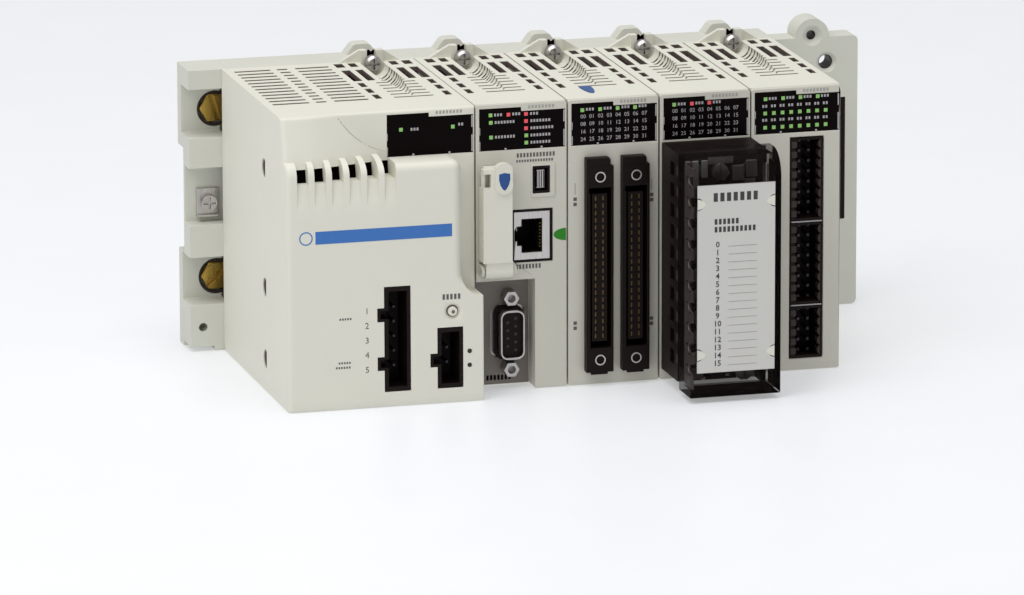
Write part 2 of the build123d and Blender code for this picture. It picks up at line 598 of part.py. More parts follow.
def make_digital_connectors():
    """Two 40-way connectors: body, central tongue with contacts, and threaded inserts."""
    face = MODULE_FRONT + 3.4
    with BuildPart() as bodies:
        for x in connector_columns():
            block(x, x + 9.6, MODULE_FRONT + 0.1, face, 4.8, 77.2)
            block(x, x + 8.2, MODULE_FRONT + 0.1, face, 77.2, 80.0)
            block(x + 0.4, x + 9.2, 88.0, MODULE_FRONT + 0.1, 6.2, 78.6)
            block(x + 0.9, x + 8.7, 92.0, face + 1, 13.4, 69.6, mode=Mode.SUBTRACT)
            for height in (9.2, 73.4):
                rod(x + 4.8, height, 94.0, face + 1, 1.9, mode=Mode.SUBTRACT)
    save(bodies, "digital_connectors")

    start = 41.5 - CONTACT_PITCH * (CONTACT_ROWS - 1) / 2
    heights = [start + CONTACT_PITCH * row for row in range(CONTACT_ROWS)]
    columns = [x + offset for x in connector_columns() for offset in (3.5, 6.1)]
    places = [(x, height) for x in columns for height in heights]
    with BuildPart() as tongues:
        for x in connector_columns():
            block(x + 2.1, x + 7.5, 92.0, face - 1.0, 15.6, 67.4)
        cut_window_row(facing(face - 1.0), places, 0.7, 1.8, -1.5)
    save(tongues, "digital_tongues")

    with BuildPart() as contacts:
        with BuildSketch(facing(face - 2.5)):
            with Locations(*places):
                Rectangle(0.45, 1.5)
        extrude(amount=1.2)
    save(contacts, "digital_contacts")

    with BuildPart() as inserts:
        for x in connector_columns():
            for height in (9.2, 73.4):
                rod(x + 4.8, height, 94.2, face + 0.2, 1.85)
                rod(x + 4.8, height, 95.5, face + 1, 1.45, mode=Mode.SUBTRACT)
    save(inserts, "threaded_inserts")


def make_input_front():
    """Front of the 16-channel module with its header for the removable terminal block."""
    left = INPUT_LEFT
    with BuildPart() as front:
        add_front_plate(left)
        cut_window(left)
        block(left + 10.3, left + 22.3, BEZEL_BACK - 1, MODULE_FRONT + 1, 12.8, 73.2, mode=Mode.SUBTRACT)
        for x, z in TERMINAL_JACKS:
            rod(left + x, z, BEZEL_BACK - 3, MODULE_FRONT + 1, 1.75, mode=Mode.SUBTRACT)
    save(front, "input_front")

    with BuildPart() as header:
        block(left + 10.5, left + 22.1, 88.0, 107.0, 13.0, 73.0)
        block(left + 12.0, left + 20.6, 98.5, 108.0, 14.5, 71.5, mode=Mode.SUBTRACT)
        with BuildSketch(facing(98.5)) as pins:
            rows = [WIRE_FIRST + 6.6 + 5.5 * row for row in range(WIRE_ROWS)]
            with Locations(*[(left + x, z) for x in (14.4, 18.2) for z in rows]):
                Rectangle(1.0, 1.0)
        extrude(pins.sketch, amount=6.5)
    save(header, "terminal_header")


def make_terminal_block():
    """Removable 20-way screw terminal block with its screws."""
    left = INPUT_LEFT
    rows = [WIRE_FIRST + 1.2 + WIRE_PITCH * row for row in range(WIRE_ROWS)]
    with BuildPart() as body:
        block(left + BLOCK_LEFT, left + BLOCK_RIGHT, MODULE_FRONT + 0.4, BLOCK_FRONT, BLOCK_BOTTOM, BLOCK_TOP)
        chamfer(body.edges().filter_by(Axis.Z).group_by(Axis.Y)[0].group_by(Axis.X)[-1], 1.6)
        block(left + 10.2, left + 22.4, MODULE_FRONT, 107.6, 12.7, 73.3, mode=Mode.SUBTRACT)
        # Wells of the clamp screws
        with BuildSketch(facing(BLOCK_FRONT + 1)) as wells:
            with Locations(*[(left + x, z) for x in CLAMP_COLUMNS for z in rows]):
                Circle(2.6)
        extrude(wells.sketch, amount=-4.0, mode=Mode.SUBTRACT)
        # Wire entries at both sides
        side = Plane.YZ.offset(left + BLOCK_LEFT - 1)
        cut_window_row(side, [(REAR - 112.5, z) for z in rows], 4.6, 4.8, 4.0)
        side = Plane.YZ.offset(left + BLOCK_RIGHT - 3)
        cut_window_row(side, [(REAR - 112.5, z) for z in rows], 4.6, 4.8, 4.0)
        for x, z in TERMINAL_JACKS:
            rod(left + x, z, MODULE_FRONT - 1, BLOCK_FRONT + 1, 1.7, mode=Mode.SUBTRACT)
        # Hinge posts and pivots for the cover
        post_left = left + COVER_AXIS_X - 1.1
        for low, high, pivot_low, pivot_high in (
            (COVER_LOW + COVER_WALL + 0.3, 7.4, COVER_LOW + 0.3, 7.0),
            (80.0, COVER_HIGH - COVER_WALL - 0.3, 80.4, COVER_HIGH - 0.3),
        ):
            block(post_left, post_left + 2.1, BLOCK_FRONT - 2, COVER_AXIS_DEPTH + 0.9, low, high)
            with Locations((left + COVER_AXIS_X, REAR - COVER_AXIS_DEPTH, (pivot_low + pivot_high) / 2)):
                Cylinder(PIVOT_RADIUS, pivot_high - pivot_low)
    save(body, "terminal_block")

    with BuildPart() as clamp_screws:
        for x in CLAMP_COLUMNS:
            for z in rows:
                rod(left + x, z, BLOCK_FRONT - 3.0, BLOCK_FRONT - 1.0, 2.4)
                block(left + x - 0.35, left + x + 0.35, BLOCK_FRONT - 1.9, BLOCK_FRONT, z - 3, z + 3,
                      mode=Mode.SUBTRACT)
    save(clamp_screws, "terminal_clamp_screws")

    with BuildPart() as jacks:
        for x, z in TERMINAL_JACKS:
            rod(left + x, z, BEZEL_BACK - 1, BLOCK_FRONT, 1.55)
            rod(left + x, z, BLOCK_FRONT, BLOCK_FRONT + 2.6, 2.9)
            block(left + x - 0.4, left + x + 0.4, BLOCK_FRONT + 1.6, BLOCK_FRONT + 3, z - 3, z + 3,
                  mode=Mode.SUBTRACT)
    save(jacks, "terminal_jack_screws")


def make_terminal_cover():
    """Smoked cover over the terminal block, hinged at its right side, with its label."""
    left = INPUT_LEFT
    outer_left = left + BLOCK_LEFT - 0.2
    outer_right = left + BLOCK_RIGHT + 0.2
    with BuildPart() as cover:
        block(outer_left, outer_right, COVER_BACK, TOTAL_DEPTH, COVER_LOW, COVER_HIGH)
        fillet(cover.edges().filter_by(Axis.X).group_by(Axis.Y)[0].group_by(Axis.Z)[-1], 9.0)
        block(outer_left + COVER_WALL, outer_right - COVER_WALL, COVER_BACK - 1, TOTAL_DEPTH - COVER_WALL,
              COVER_LOW + COVER_WALL, COVER_HIGH - COVER_WALL - 3.5, mode=Mode.SUBTRACT)
        block(outer_left + COVER_WALL, outer_right - COVER_WALL, COVER_BACK - 1,
              TOTAL_DEPTH - COVER_WALL - 3.5, COVER_LOW + COVER_WALL, COVER_HIGH - COVER_WALL,
              mode=Mode.SUBTRACT)
        # Wire openings in the left wall
        with BuildSketch(Plane.YZ.offset(outer_left - 1)) as openings:
            with Locations(*[(REAR - TOTAL_DEPTH + 4.8, WIRE_FIRST + 0.5 + WIRE_PITCH * row)
                             for row in range(WIRE_ROWS)]):
                SlotOverall(6.4, 3.4)
        extrude(openings.sketch, amount=COVER_WALL + 1, mode=Mode.SUBTRACT)
        # Shallow seat for the label
        block(left + LABEL_LEFT - 0.1, left + LABEL_RIGHT + 0.1, TOTAL_DEPTH - LABEL_SEAT, TOTAL_DEPTH + 1,
              LABEL_BOTTOM - 0.1, LABEL_TOP + 0.1, mode=Mode.SUBTRACT)
        # Pivot holes, and room for the hinge posts in the right wall
        with Locations((left + COVER_AXIS_X, REAR - COVER_AXIS_DEPTH, (COVER_LOW + COVER_HIGH) / 2)):
            Cylinder(PIVOT_RADIUS + RUNNING, COVER_HIGH - COVER_LOW + 2, mode=Mode.SUBTRACT)
        wall_left = outer_right - COVER_WALL - 0.2
        block(wall_left, outer_right + 1, COVER_BACK - 1, COVER_AXIS_DEPTH - 0.6, 8.0, 79.4,
              mode=Mode.SUBTRACT)
        for low, high in ((COVER_LOW + COVER_WALL, 8.1), (79.3, COVER_HIGH - COVER_WALL)):
            block(wall_left, outer_right + 1, COVER_BACK - 1, COVER_AXIS_DEPTH + 2.6, low, high,
                  mode=Mode.SUBTRACT)
    save(cover, "terminal_cover")

    with BuildPart() as label:
        block(left + LABEL_LEFT, left + LABEL_RIGHT, TOTAL_DEPTH - LABEL_SEAT + 0.05, TOTAL_DEPTH - 0.1,
              LABEL_BOTTOM, LABEL_TOP)
        for x in (LABEL_LEFT, LABEL_RIGHT):
            for z in (16.7, 69.2):
                rod(left + x, z, TOTAL_DEPTH - 2, TOTAL_DEPTH, 2.2, mode=Mode.SUBTRACT)
    save(label, "terminal_label")


def counter_sections():
    """Bottom, top and number of rows of the counter module's three sockets."""
    return ((4.4, 22.6, 5), (23.4, 52.1, 8), (52.9, 82.1, 8))


def make_counter_front():
    """Front of the counter module with its three sockets and their contacts."""
    left = COUNTER_LEFT
    with BuildPart() as front:
        add_front_plate(left)
        cut_window(left)
        block(left + 13.9, left + 25.9, BEZEL_BACK - 1, MODULE_FRONT + 1, 4.2, 82.3, mode=Mode.SUBTRACT)
    save(front, "counter_front")

    with BuildPart() as sockets:
        for low, high, rows in counter_sections():
            block(left + 14.0, left + 25.8, 86.0, MODULE_FRONT + 0.2, low, high)
            block(left + 15.9, left + 24.4, 88.5, MODULE_FRONT + 1, low + 0.9, high - 0.9, mode=Mode.SUBTRACT)
    save(sockets, "counter_sockets")

    with BuildPart() as contacts:
        with BuildSketch(facing(88.5)):
            for low, high, rows in counter_sections():
                pitch = (high - low) / rows
                with Locations(*[(left + x, low + pitch * (row + 0.5))
                                 for x in (18.4, 21.8) for row in range(rows)]):
                    Rectangle(0.9, 0.9)
        extrude(amount=6.5)
    save(contacts, "counter_contacts")


# Power supply front

def supply_outline(inset):
    """Outline of the supply's raised front: stepped in at the upper right, with a concave foot."""
    left = SUPPLY_LEFT + inset
    right = SUPPLY_LEFT + SUPPLY_WIDTH - inset
    step = SUPPLY_LEFT + COVER_STEP - inset
    top = COVER_TOP - inset
    with BuildSketch(facing(MODULE_FRONT)) as outline:
        with BuildLine():
            Line((left, inset), (right, inset))
            Line((right, inset), (right, 36.5 - inset))
            RadiusArc((right, 36.5 - inset), (step, 43.9 - inset), 7.4)
            Line((step, 43.9 - inset), (step, top - 3))
            RadiusArc((step, top - 3), (step - 3, top), -3)
            Line((step - 3, top), (left, top))
            Line((left, top), (left, inset))
        make_face()
    return outline.sketch


def make_supply_front():
    """Front cover of the power supply: raised face, vents, sloping shoulder and flat window side."""
    left = SUPPLY_LEFT
    face = SUPPLY_FRONT - MODULE_FRONT
    with BuildPart() as cover:
        block(left, left + SUPPLY_WIDTH, BEZEL_BACK, MODULE_FRONT, 0, MODULE_HEIGHT)
        extrude(supply_outline(0), amount=face)
        # Sloping shoulder above the vents, at the left
        with BuildSketch(Plane.YZ.offset(left)) as shoulder:
            with BuildLine():
                Polyline((REAR - 98, 80), (REAR - 107, 80), (REAR - 106, 85), (REAR - 100.6, 100),
                         (REAR - 98, 100), close=True)
            make_face()
        extrude(shoulder.sketch, amount=27.0)
        # Inside
        block(left + 2, left + SUPPLY_WIDTH - 2, BEZEL_BACK - 1, MODULE_FRONT + 0.01, 2, 80,
              mode=Mode.SUBTRACT)
        extrude(supply_outline(2.0), amount=face - 2.0, mode=Mode.SUBTRACT)
        for vent in range(VENTS):
            x = left + VENT_FIRST + VENT_PITCH * vent
            block(x, x + VENT_WIDTH, 100, SUPPLY_FRONT + 1, 78.6, 83.1, mode=Mode.SUBTRACT)
            block(x, x + VENT_WIDTH, 107.6, SUPPLY_FRONT + 1, 83.1, 86, mode=Mode.SUBTRACT)
        cut_window(left + SUPPLY_WIDTH - MODULE_WIDTH)
        block(left + 33.4, left + 42.7, 100, SUPPLY_FRONT + 1, 5.1, 41.7, mode=Mode.SUBTRACT)
        for z in (12.6, 29.6):
            block(left + 31.0, left + 33.5, 100, SUPPLY_FRONT + 1, z, z + 4.8, mode=Mode.SUBTRACT)
        block(left + 52.0, left + 61.1, 100, SUPPLY_FRONT + 1, 5.0, 26.3, mode=Mode.SUBTRACT)
        block(left + 49.5, left + 52.1, 100, SUPPLY_FRONT + 1, 12.6, 17.4, mode=Mode.SUBTRACT)
        rod(left + RESET_X, RESET_Z, SUPPLY_FRONT - 0.7, SUPPLY_FRONT + 1, 2.8, mode=Mode.SUBTRACT)
        rod(left + RESET_X, RESET_Z, 100, SUPPLY_FRONT + 1, RESET_RADIUS + 0.08, mode=Mode.SUBTRACT)
        for z in (12.7, 17.6):
            rod(left + 63.3, z, SUPPLY_FRONT - 1.2, SUPPLY_FRONT + 1, 0.8, mode=Mode.SUBTRACT)
        # Snap tongues that reach back to the side windows of the housing
        for height in SNAP_HEIGHTS:
            block(left + WALL + 0.2, left + WALL + 1.6, 74.0, BEZEL_BACK + 1, height - 2.6, height + 2.6)
    save(cover, "supply_front_cover")


def make_supply_sockets():
    """Five-way power socket, two-way relay socket and their pins."""
    left = SUPPLY_LEFT
    face = SUPPLY_FRONT - 0.2
    with BuildPart() as power:
        block(left + 33.6, left + 42.5, 96.0, face, 5.3, 41.5)
        block(left + 35.0, left + 41.3, 99.0, face + 1, 6.8, 40.0, mode=Mode.SUBTRACT)
        for z in (12.8, 29.8):
            block(left + 31.2, left + 33.6, 104.0, face, z, z + 4.4)
            block(left + 32.2, left + 35.5, 104.8, face + 1, z + 0.8, z + 3.6, mode=Mode.SUBTRACT)
    save(power, "supply_power_socket")

    with BuildPart() as relay:
        block(left + 52.2, left + 60.9, 96.0, face, 5.2, 26.1)
        block(left + 53.5, left + 59.7, 99.0, face + 1, 6.7, 24.6, mode=Mode.SUBTRACT)
        block(left + 49.7, left + 52.2, 104.0, face, 12.8, 17.2)
        block(left + 50.7, left + 54.0, 104.8, face + 1, 13.6, 16.4, mode=Mode.SUBTRACT)
    save(relay, "supply_relay_socket")

    with BuildPart() as pins:
        for x, heights in ((38.0, (33.6, 28.5, 23.4, 18.3, 13.2)), (56.6, (18.2, 13.1))):
            for z in heights:
                block(left + x - 0.4, left + x + 0.4, 99.0, face - 5.0, z - 0.4, z + 0.4)
    save(pins, "supply_pins")


def make_reset_button():
    """Reset button with the flange that keeps it behind the cover."""
    x = SUPPLY_LEFT + RESET_X
    with BuildPart() as button:
        rod(x, RESET_Z, 106.0, SUPPLY_FRONT - 0.2, RESET_RADIUS)
        rod(x, RESET_Z, 107.6, 108.8, 2.5)
    save(button, "reset_button")

    with BuildPart() as switch:
        block(x - 3, x + 3, 100.5, 103.6, RESET_Z - 3, RESET_Z + 3)
        rod(x, RESET_Z, 103.6, 104.6, 1.6)
    save(switch, "reset_switch")


def make_supply_inside():
    """Main board of the power supply with its transformer, capacitors and heat sink."""
    left = SUPPLY_LEFT
    with BuildPart() as board:
        block(left + 6.0, left + 7.6, 22.0, 94.0, 6, 94)
    save(board, "supply_board")

    with BuildPart() as transformer:
        block(left + 7.8, left + 33.0, 52.0, 78.0, 30, 62)
        block(left + 12.0, left + 29.0, 47.0, 83.0, 36, 56)
    save(transformer, "transformer")

    with BuildPart() as capacitors:
        for depth, height in ((33.0, 24.0), (33.0, 44.0), (88.0, 66.0)):
            with Locations(Location((left + 20.3, REAR - depth, height), (0, 90, 0))):
                Cylinder(8.0, 25.0)
    save(capacitors, "capacitors")

    with BuildPart() as sink:
        block(left + 10.0, left + 42.0, 26.0, 76.0, 68.0, 71.0)
        for fin in range(6):
            x = left + 11.0 + 5.6 * fin
            block(x, x + 1.6, 26.0, 76.0, 71.0, 86.0)
    save(sink, "heat_sink")


def make_boards():
    """Circuit board of the processor and of each input/output module."""
    with BuildPart() as boards:
        for left in SLOTS[1:]:
            block(left + 27.2, left + 28.8, 24.0, 85.0, 6, 92)
    save(boards, "module_boards")


def make_lights():
    """Indicator lights behind the windows, green and red."""
    green_places = [(SUPPLY_LEFT + 42.6, 93.3), (SUPPLY_LEFT + 60.8, 93.3)]
    for x, z in ((5.2, 96.4), (5.3, 93.8), (5.4, 88.7), (17.8, 88.7), (17.8, 86.2)):
        green_places.append((PROCESSOR_LEFT + x, z))
    for x in (5.0, 11.3, 17.5, 23.7):
        green_places.append((DIGITAL_LEFT + x, 96.3))
        green_places.append((COUNTER_LEFT + x, 96.3))
    green_places.append((INPUT_LEFT + 5.0, 96.3))
    for row in (86.3, 91.3):
        for column in range(8):
            green_places.append((COUNTER_LEFT + 4.9 + 3.1 * column, row))
    red_places = [(PROCESSOR_LEFT + 11.5, 96.3), (PROCESSOR_LEFT + 17.7, 96.2), (PROCESSOR_LEFT + 17.7, 93.7),
                  (PROCESSOR_LEFT + 17.7, 91.2), (INPUT_LEFT + 11.3, 96.3), (INPUT_LEFT + 17.5, 96.3)]
    for places, name in ((green_places, "green_lights"), (red_places, "red_lights")):
        with BuildPart() as lights:
            with BuildSketch(facing(MODULE_FRONT - 0.2)):
                with Locations(*places):
                    Rectangle(LIGHT, LIGHT)
            extrude(amount=0.15)
        save(lights, name)


os.makedirs("parts", exist_ok=True)
make_rack_profile()
make_rack_left_end()
make_rack_right_end()
make_rear_plate()
make_bus()
make_extension_connector()
make_rack_screws()
make_housing(SUPPLY_LEFT, SUPPLY_WIDTH, "supply_housing", supply=True)
make_housing(PROCESSOR_LEFT, MODULE_WIDTH, "processor_housing", recess=True)
make_housing(DIGITAL_LEFT, MODULE_WIDTH, "digital_housing")
make_housing(INPUT_LEFT, MODULE_WIDTH, "input_housing")
make_housing(COUNTER_LEFT, MODULE_WIDTH, "counter_housing")
make_window(SUPPLY_SLOT, "supply_window")
make_window(PROCESSOR_LEFT, "processor_window")
make_window(DIGITAL_LEFT, "digital_window")
make_window(INPUT_LEFT, "input_window")
make_window(COUNTER_LEFT, "counter_window")
make_lights()
make_supply_front()
make_supply_sockets()
make_reset_button()
make_supply_inside()
make_processor_front()
make_card_door()
make_card()
make_processor_ports()
make_digital_front()
make_digital_connectors()
make_input_front()
make_terminal_block()
make_terminal_cover()
make_counter_front()
make_boards()
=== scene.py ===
import json
from math import atan2, cos, degrees, pi, radians, sin, sqrt

import bmesh
import bpy
from mathutils import Matrix, Vector
from mathutils.bvhtree import BVHTree


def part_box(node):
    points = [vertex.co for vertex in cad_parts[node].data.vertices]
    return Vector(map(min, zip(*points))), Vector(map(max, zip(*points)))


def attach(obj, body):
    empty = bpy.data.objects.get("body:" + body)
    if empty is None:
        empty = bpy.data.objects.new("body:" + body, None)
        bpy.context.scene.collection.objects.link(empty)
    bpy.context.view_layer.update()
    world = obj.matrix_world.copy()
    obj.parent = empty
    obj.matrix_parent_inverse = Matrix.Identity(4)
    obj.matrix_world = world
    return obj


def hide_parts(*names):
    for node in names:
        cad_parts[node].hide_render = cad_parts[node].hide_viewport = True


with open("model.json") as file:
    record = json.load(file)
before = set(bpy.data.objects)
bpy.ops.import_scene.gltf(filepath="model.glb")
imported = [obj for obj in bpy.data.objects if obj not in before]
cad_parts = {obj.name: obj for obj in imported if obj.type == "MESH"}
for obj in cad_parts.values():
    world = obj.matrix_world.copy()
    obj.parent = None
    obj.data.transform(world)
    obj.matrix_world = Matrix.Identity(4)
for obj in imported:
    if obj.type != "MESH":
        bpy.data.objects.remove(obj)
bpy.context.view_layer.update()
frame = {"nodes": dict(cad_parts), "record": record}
nodes = frame["nodes"]

# Places that come from the frame, in metres
MM = 0.001
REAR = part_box("rack_left_end")[1].y
SUPPLY_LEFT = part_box("supply_front_cover")[0].x
SUPPLY_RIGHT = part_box("supply_front_cover")[1].x
PROCESSOR_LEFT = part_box("processor_front")[0].x
DIGITAL_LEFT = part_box("digital_front")[0].x
INPUT_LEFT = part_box("input_front")[0].x
COUNTER_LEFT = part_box("counter_front")[0].x
RACK_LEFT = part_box("rack_left_end")[0].x
MODULE_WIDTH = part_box("digital_front")[1].x - DIGITAL_LEFT
SLOT_LEFTS = {"supply": SUPPLY_RIGHT - MODULE_WIDTH, "processor": PROCESSOR_LEFT, "digital": DIGITAL_LEFT,
              "input": INPUT_LEFT, "counter": COUNTER_LEFT}

# Depths forward from the rack's rear face, in millimetres
FRONT = (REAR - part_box("digital_front")[0].y) / MM
BEZEL_BACK = FRONT - 2.0
SUPPLY_FRONT = (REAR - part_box("supply_front_cover")[0].y) / MM
WINDOW_FACE = FRONT - 0.2
CONNECTOR_FACE = (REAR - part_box("digital_connectors")[0].y) / MM
COVER_FRONT = (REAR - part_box("terminal_cover")[0].y) / MM
LABEL_FACE = (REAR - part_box("terminal_label")[0].y) / MM

# Camera, from the azimuth and elevation at which the object is seen
CAMERA_AIM = Vector((-0.0158, 0.0168, 0.0204))
CAMERA_DISTANCE = 2.979
CAMERA_AZIMUTH = -15.3
CAMERA_ELEVATION = 13.42
CAMERA_ROLL = -0.12
CAMERA_LENS = 301.4

# Surroundings, in metres
WORLD_STRENGTH = 0.50
FLOOR_HALF_SIZE = 30.0
FLOOR_GAP = 0.0002


def spot_on_sphere(azimuth, elevation, distance):
    """Point seen from the origin at that azimuth, from -Y towards +X, and elevation."""
    a, e = radians(azimuth), radians(elevation)
    return Vector((sin(a) * cos(e), -cos(a) * cos(e), sin(e))) * distance


def look_at(obj, target, roll=0.0):
    """Turn an object so that its -Z points at the target."""
    direction = (Vector(target) - obj.location).normalized()
    turn = direction.to_track_quat("-Z", "Y").to_matrix().to_4x4()
    obj.matrix_world = Matrix.Translation(obj.location) @ turn @ Matrix.Rotation(radians(roll), 4, "Z")


def make_camera():
    data = bpy.data.cameras.new("camera")
    data.lens = CAMERA_LENS
    data.sensor_width = 36.0
    data.clip_start = 0.1
    data.clip_end = 50.0
    camera = bpy.data.objects.new("camera", data)
    bpy.context.scene.collection.objects.link(camera)
    camera.location = CAMERA_AIM + spot_on_sphere(CAMERA_AZIMUTH, CAMERA_ELEVATION, CAMERA_DISTANCE)
    look_at(camera, CAMERA_AIM, CAMERA_ROLL)
    bpy.context.scene.camera = camera


def make_light(name, azimuth, elevation, distance, size, power):
    """Round white lamp that shines on the object from that azimuth and elevation."""
    data = bpy.data.lights.new(name, "AREA")
    data.shape = "DISK"
    data.size = size
    data.energy = power
    light = bpy.data.objects.new(name, data)
    bpy.context.scene.collection.objects.link(light)
    light.location = spot_on_sphere(azimuth, elevation, distance)
    look_at(light, (0, 0, 0.05))


def make_stage():
    """Soft white surroundings, two lamps and a floor."""
    scene = bpy.context.scene
    scene.view_settings.view_transform = "Standard"
    world = bpy.data.worlds.new("studio")
    scene.world = world
    world.use_nodes = True
    background = world.node_tree.nodes["Background"]
    background.inputs["Color"].default_value = (1.0, 1.0, 1.0, 1)
    background.inputs["Strength"].default_value = WORLD_STRENGTH
    make_light("key", -58, 50, distance=1.3, size=0.9, power=5.2)
    make_light("top", -10, 84, distance=2.4, size=1.6, power=24)
    bm = bmesh.new()
    bmesh.ops.create_grid(bm, x_segments=8, y_segments=8, size=FLOOR_HALF_SIZE)
    mesh = bpy.data.meshes.new("floor")
    bm.to_mesh(mesh)
    bm.free()
    floor = bpy.data.objects.new("floor", mesh)
    floor.location.z = -FLOOR_GAP
    scene.collection.objects.link(floor)
    mesh.materials.append(FLOOR)


# Materials. Noise is fixed to the object, and its scale is in cycles a metre.

GRAIN_SCALE = 3200
BUMP_DISTANCE = 0.0001
ROUGHNESS_SPREAD = 0.06
TINT_STOPS = (0.3, 0.7)


def shader(name):
    """A new material with its tree and its Principled shader."""
    material = bpy.data.materials.new(name)
    material.use_nodes = True
    return material, material.node_tree, material.node_tree.nodes["Principled BSDF"]


def object_noise(tree, scale, detail=2.0):
    coordinates = tree.nodes.new("ShaderNodeTexCoord")
    noise = tree.nodes.new("ShaderNodeTexNoise")
    noise.inputs["Scale"].default_value = scale
    noise.inputs["Detail"].default_value = detail
    tree.links.new(coordinates.outputs["Object"], noise.inputs["Vector"])
    return noise.outputs["Fac"]


def tint(tree, bsdf, value, low, high):
    """Base colour that runs from low to high with a value."""
    node = tree.nodes.new("ShaderNodeValToRGB")
    for element, position, colour in zip(node.color_ramp.elements, TINT_STOPS, (low, high)):
        element.position = position
        element.color = (*colour, 1)
    tree.links.new(value, node.inputs["Fac"])
    tree.links.new(node.outputs["Color"], bsdf.inputs["Base Color"])
    return node.outputs["Color"]


def vary_roughness(tree, bsdf, value, low, high):
    """Roughness that runs from low to high with a value."""
    node = tree.nodes.new("ShaderNodeMapRange")
    node.inputs["To Min"].default_value = low
    node.inputs["To Max"].default_value = high
    tree.links.new(value, node.inputs["Value"])
    tree.links.new(node.outputs["Result"], bsdf.inputs["Roughness"])


def add_bump(tree, bsdf, height, strength):
    bump = tree.nodes.new("ShaderNodeBump")
    bump.inputs["Strength"].default_value = strength
    bump.inputs["Distance"].default_value = BUMP_DISTANCE
    tree.links.new(height, bump.inputs["Height"])
    tree.links.new(bump.outputs["Normal"], bsdf.inputs["Normal"])


def scaled(colour, factor):
    return tuple(min(1.0, c * factor) for c in colour)


def matte(name, colour, roughness, blotch_scale, variation, bump, specular=0.5):
    """Moulded plastic: slight blotches in colour, uneven roughness and a fine grain."""
    material, tree, bsdf = shader(name)
    bsdf.inputs["Specular IOR Level"].default_value = specular
    blotches = object_noise(tree, blotch_scale, 3)
    tint(tree, bsdf, blotches, scaled(colour, 1 - variation), scaled(colour, 1 + variation))
    grain = object_noise(tree, GRAIN_SCALE)
    vary_roughness(tree, bsdf, grain, roughness - ROUGHNESS_SPREAD, roughness + ROUGHNESS_SPREAD)
    if bump:
        add_bump(tree, bsdf, grain, bump)
    return material


def metal(name, colour, roughness, streak=(900, 900, 60)):
    """Machined or rolled metal with fine streaks, which run along the axis of the smallest scale."""
    material, tree, bsdf = shader(name)
    bsdf.inputs["Metallic"].default_value = 1.0
    coordinates = tree.nodes.new("ShaderNodeTexCoord")
    stretch = tree.nodes.new("ShaderNodeMapping")
    stretch.inputs["Scale"].default_value = streak
    noise = tree.nodes.new("ShaderNodeTexNoise")
    noise.inputs["Scale"].default_value = 3.0
    noise.inputs["Detail"].default_value = 4.0
    tree.links.new(coordinates.outputs["Object"], stretch.inputs["Vector"])
    tree.links.new(stretch.outputs["Vector"], noise.inputs["Vector"])
    streaks = noise.outputs["Fac"]
    tint(tree, bsdf, streaks, scaled(colour, 0.85), scaled(colour, 1.08))
    vary_roughness(tree, bsdf, streaks, roughness * 0.7, roughness * 1.4)
    add_bump(tree, bsdf, streaks, 0.05)
    return material


def glow(name, colour, strength):
    """Lit indicator, a little uneven."""
    material, tree, bsdf = shader(name)
    fine = object_noise(tree, 1800)
    uneven = tint(tree, bsdf, fine, scaled(colour, 0.75), colour)
    tree.links.new(uneven, bsdf.inputs["Emission Color"])
    bsdf.inputs["Emission Strength"].default_value = strength
    bsdf.inputs["Roughness"].default_value = 0.35
    return material


def smoked(name, colour, alpha):
    """Smoked clear plastic, faintly uneven."""
    material, tree, bsdf = shader(name)
    faint = object_noise(tree, 80)
    tint(tree, bsdf, faint, scaled(colour, 0.9), scaled(colour, 1.1))
    bsdf.inputs["Roughness"].default_value = 0.2
    bsdf.inputs["Specular IOR Level"].default_value = 0.03
    bsdf.inputs["Alpha"].default_value = alpha
    return material


def floor_paint():
    """Pale floor with a faint glow, so that it stays light under the soft lamps."""
    material = matte("floor_paint", (0.58, 0.60, 0.63), 0.45, 30, 0.01, 0.0)
    bsdf = material.node_tree.nodes["Principled BSDF"]
    bsdf.inputs["Emission Color"].default_value = (1.0, 1.0, 1.0, 1)
    bsdf.inputs["Emission Strength"].default_value = 0.32
    return material


FLOOR = floor_paint()
# Painted shade: near black for sheets behind the vents, in the screw notches and inside the smoked cover,
# where there is only shade.
PAINTED_SHADE_BLACK = matte("painted_shade_black", (0.002, 0.001, 0.001), 0.7, 100, 0.1, 0.0, specular=0.0)
IVORY = matte("ivory", (0.72, 0.71, 0.62), 0.50, 60, 0.012, 0.12)
# Painted shade: a darker copy of the ivory for front faces of the modules, the USB surround and the block's
# corner.
IVORY_FRONT_SHADED = matte("ivory_front_shaded", (0.60, 0.585, 0.51), 0.50, 60, 0.012, 0.12)
IVORY_DOOR = matte("ivory_door", (0.70, 0.69, 0.60), 0.50, 60, 0.012, 0.12)
IVORY_RACK = matte("ivory_rack", (0.62, 0.62, 0.55), 0.52, 60, 0.014, 0.16)
# Black moulding, and also painted shade for the sheet under the cooling openings and the sheets between the
# modules.
BLACK = matte("black_moulding_and_shade", (0.0070, 0.0030, 0.0028), 0.45, 200, 0.15, 0.10, specular=0.14)
WINDOW = matte("window_black", (0.0025, 0.0008, 0.001), 0.30, 100, 0.1, 0.0, specular=0.05)
# Painted shade: grey for the floor of the deep fieldbus recess.
RECESS_SHADE = matte("recess_shade_grey", (0.21, 0.185, 0.165), 0.5, 200, 0.03, 0.10)
PRINT = matte("light_print", (0.40, 0.38, 0.39), 0.5, 800, 0.06, 0.0)
DARK_PRINT = matte("dark_print", (0.10, 0.09, 0.085), 0.5, 800, 0.08, 0.0)
LABEL_PRINT = matte("label_print", (0.035, 0.033, 0.033), 0.5, 800, 0.08, 0.0)
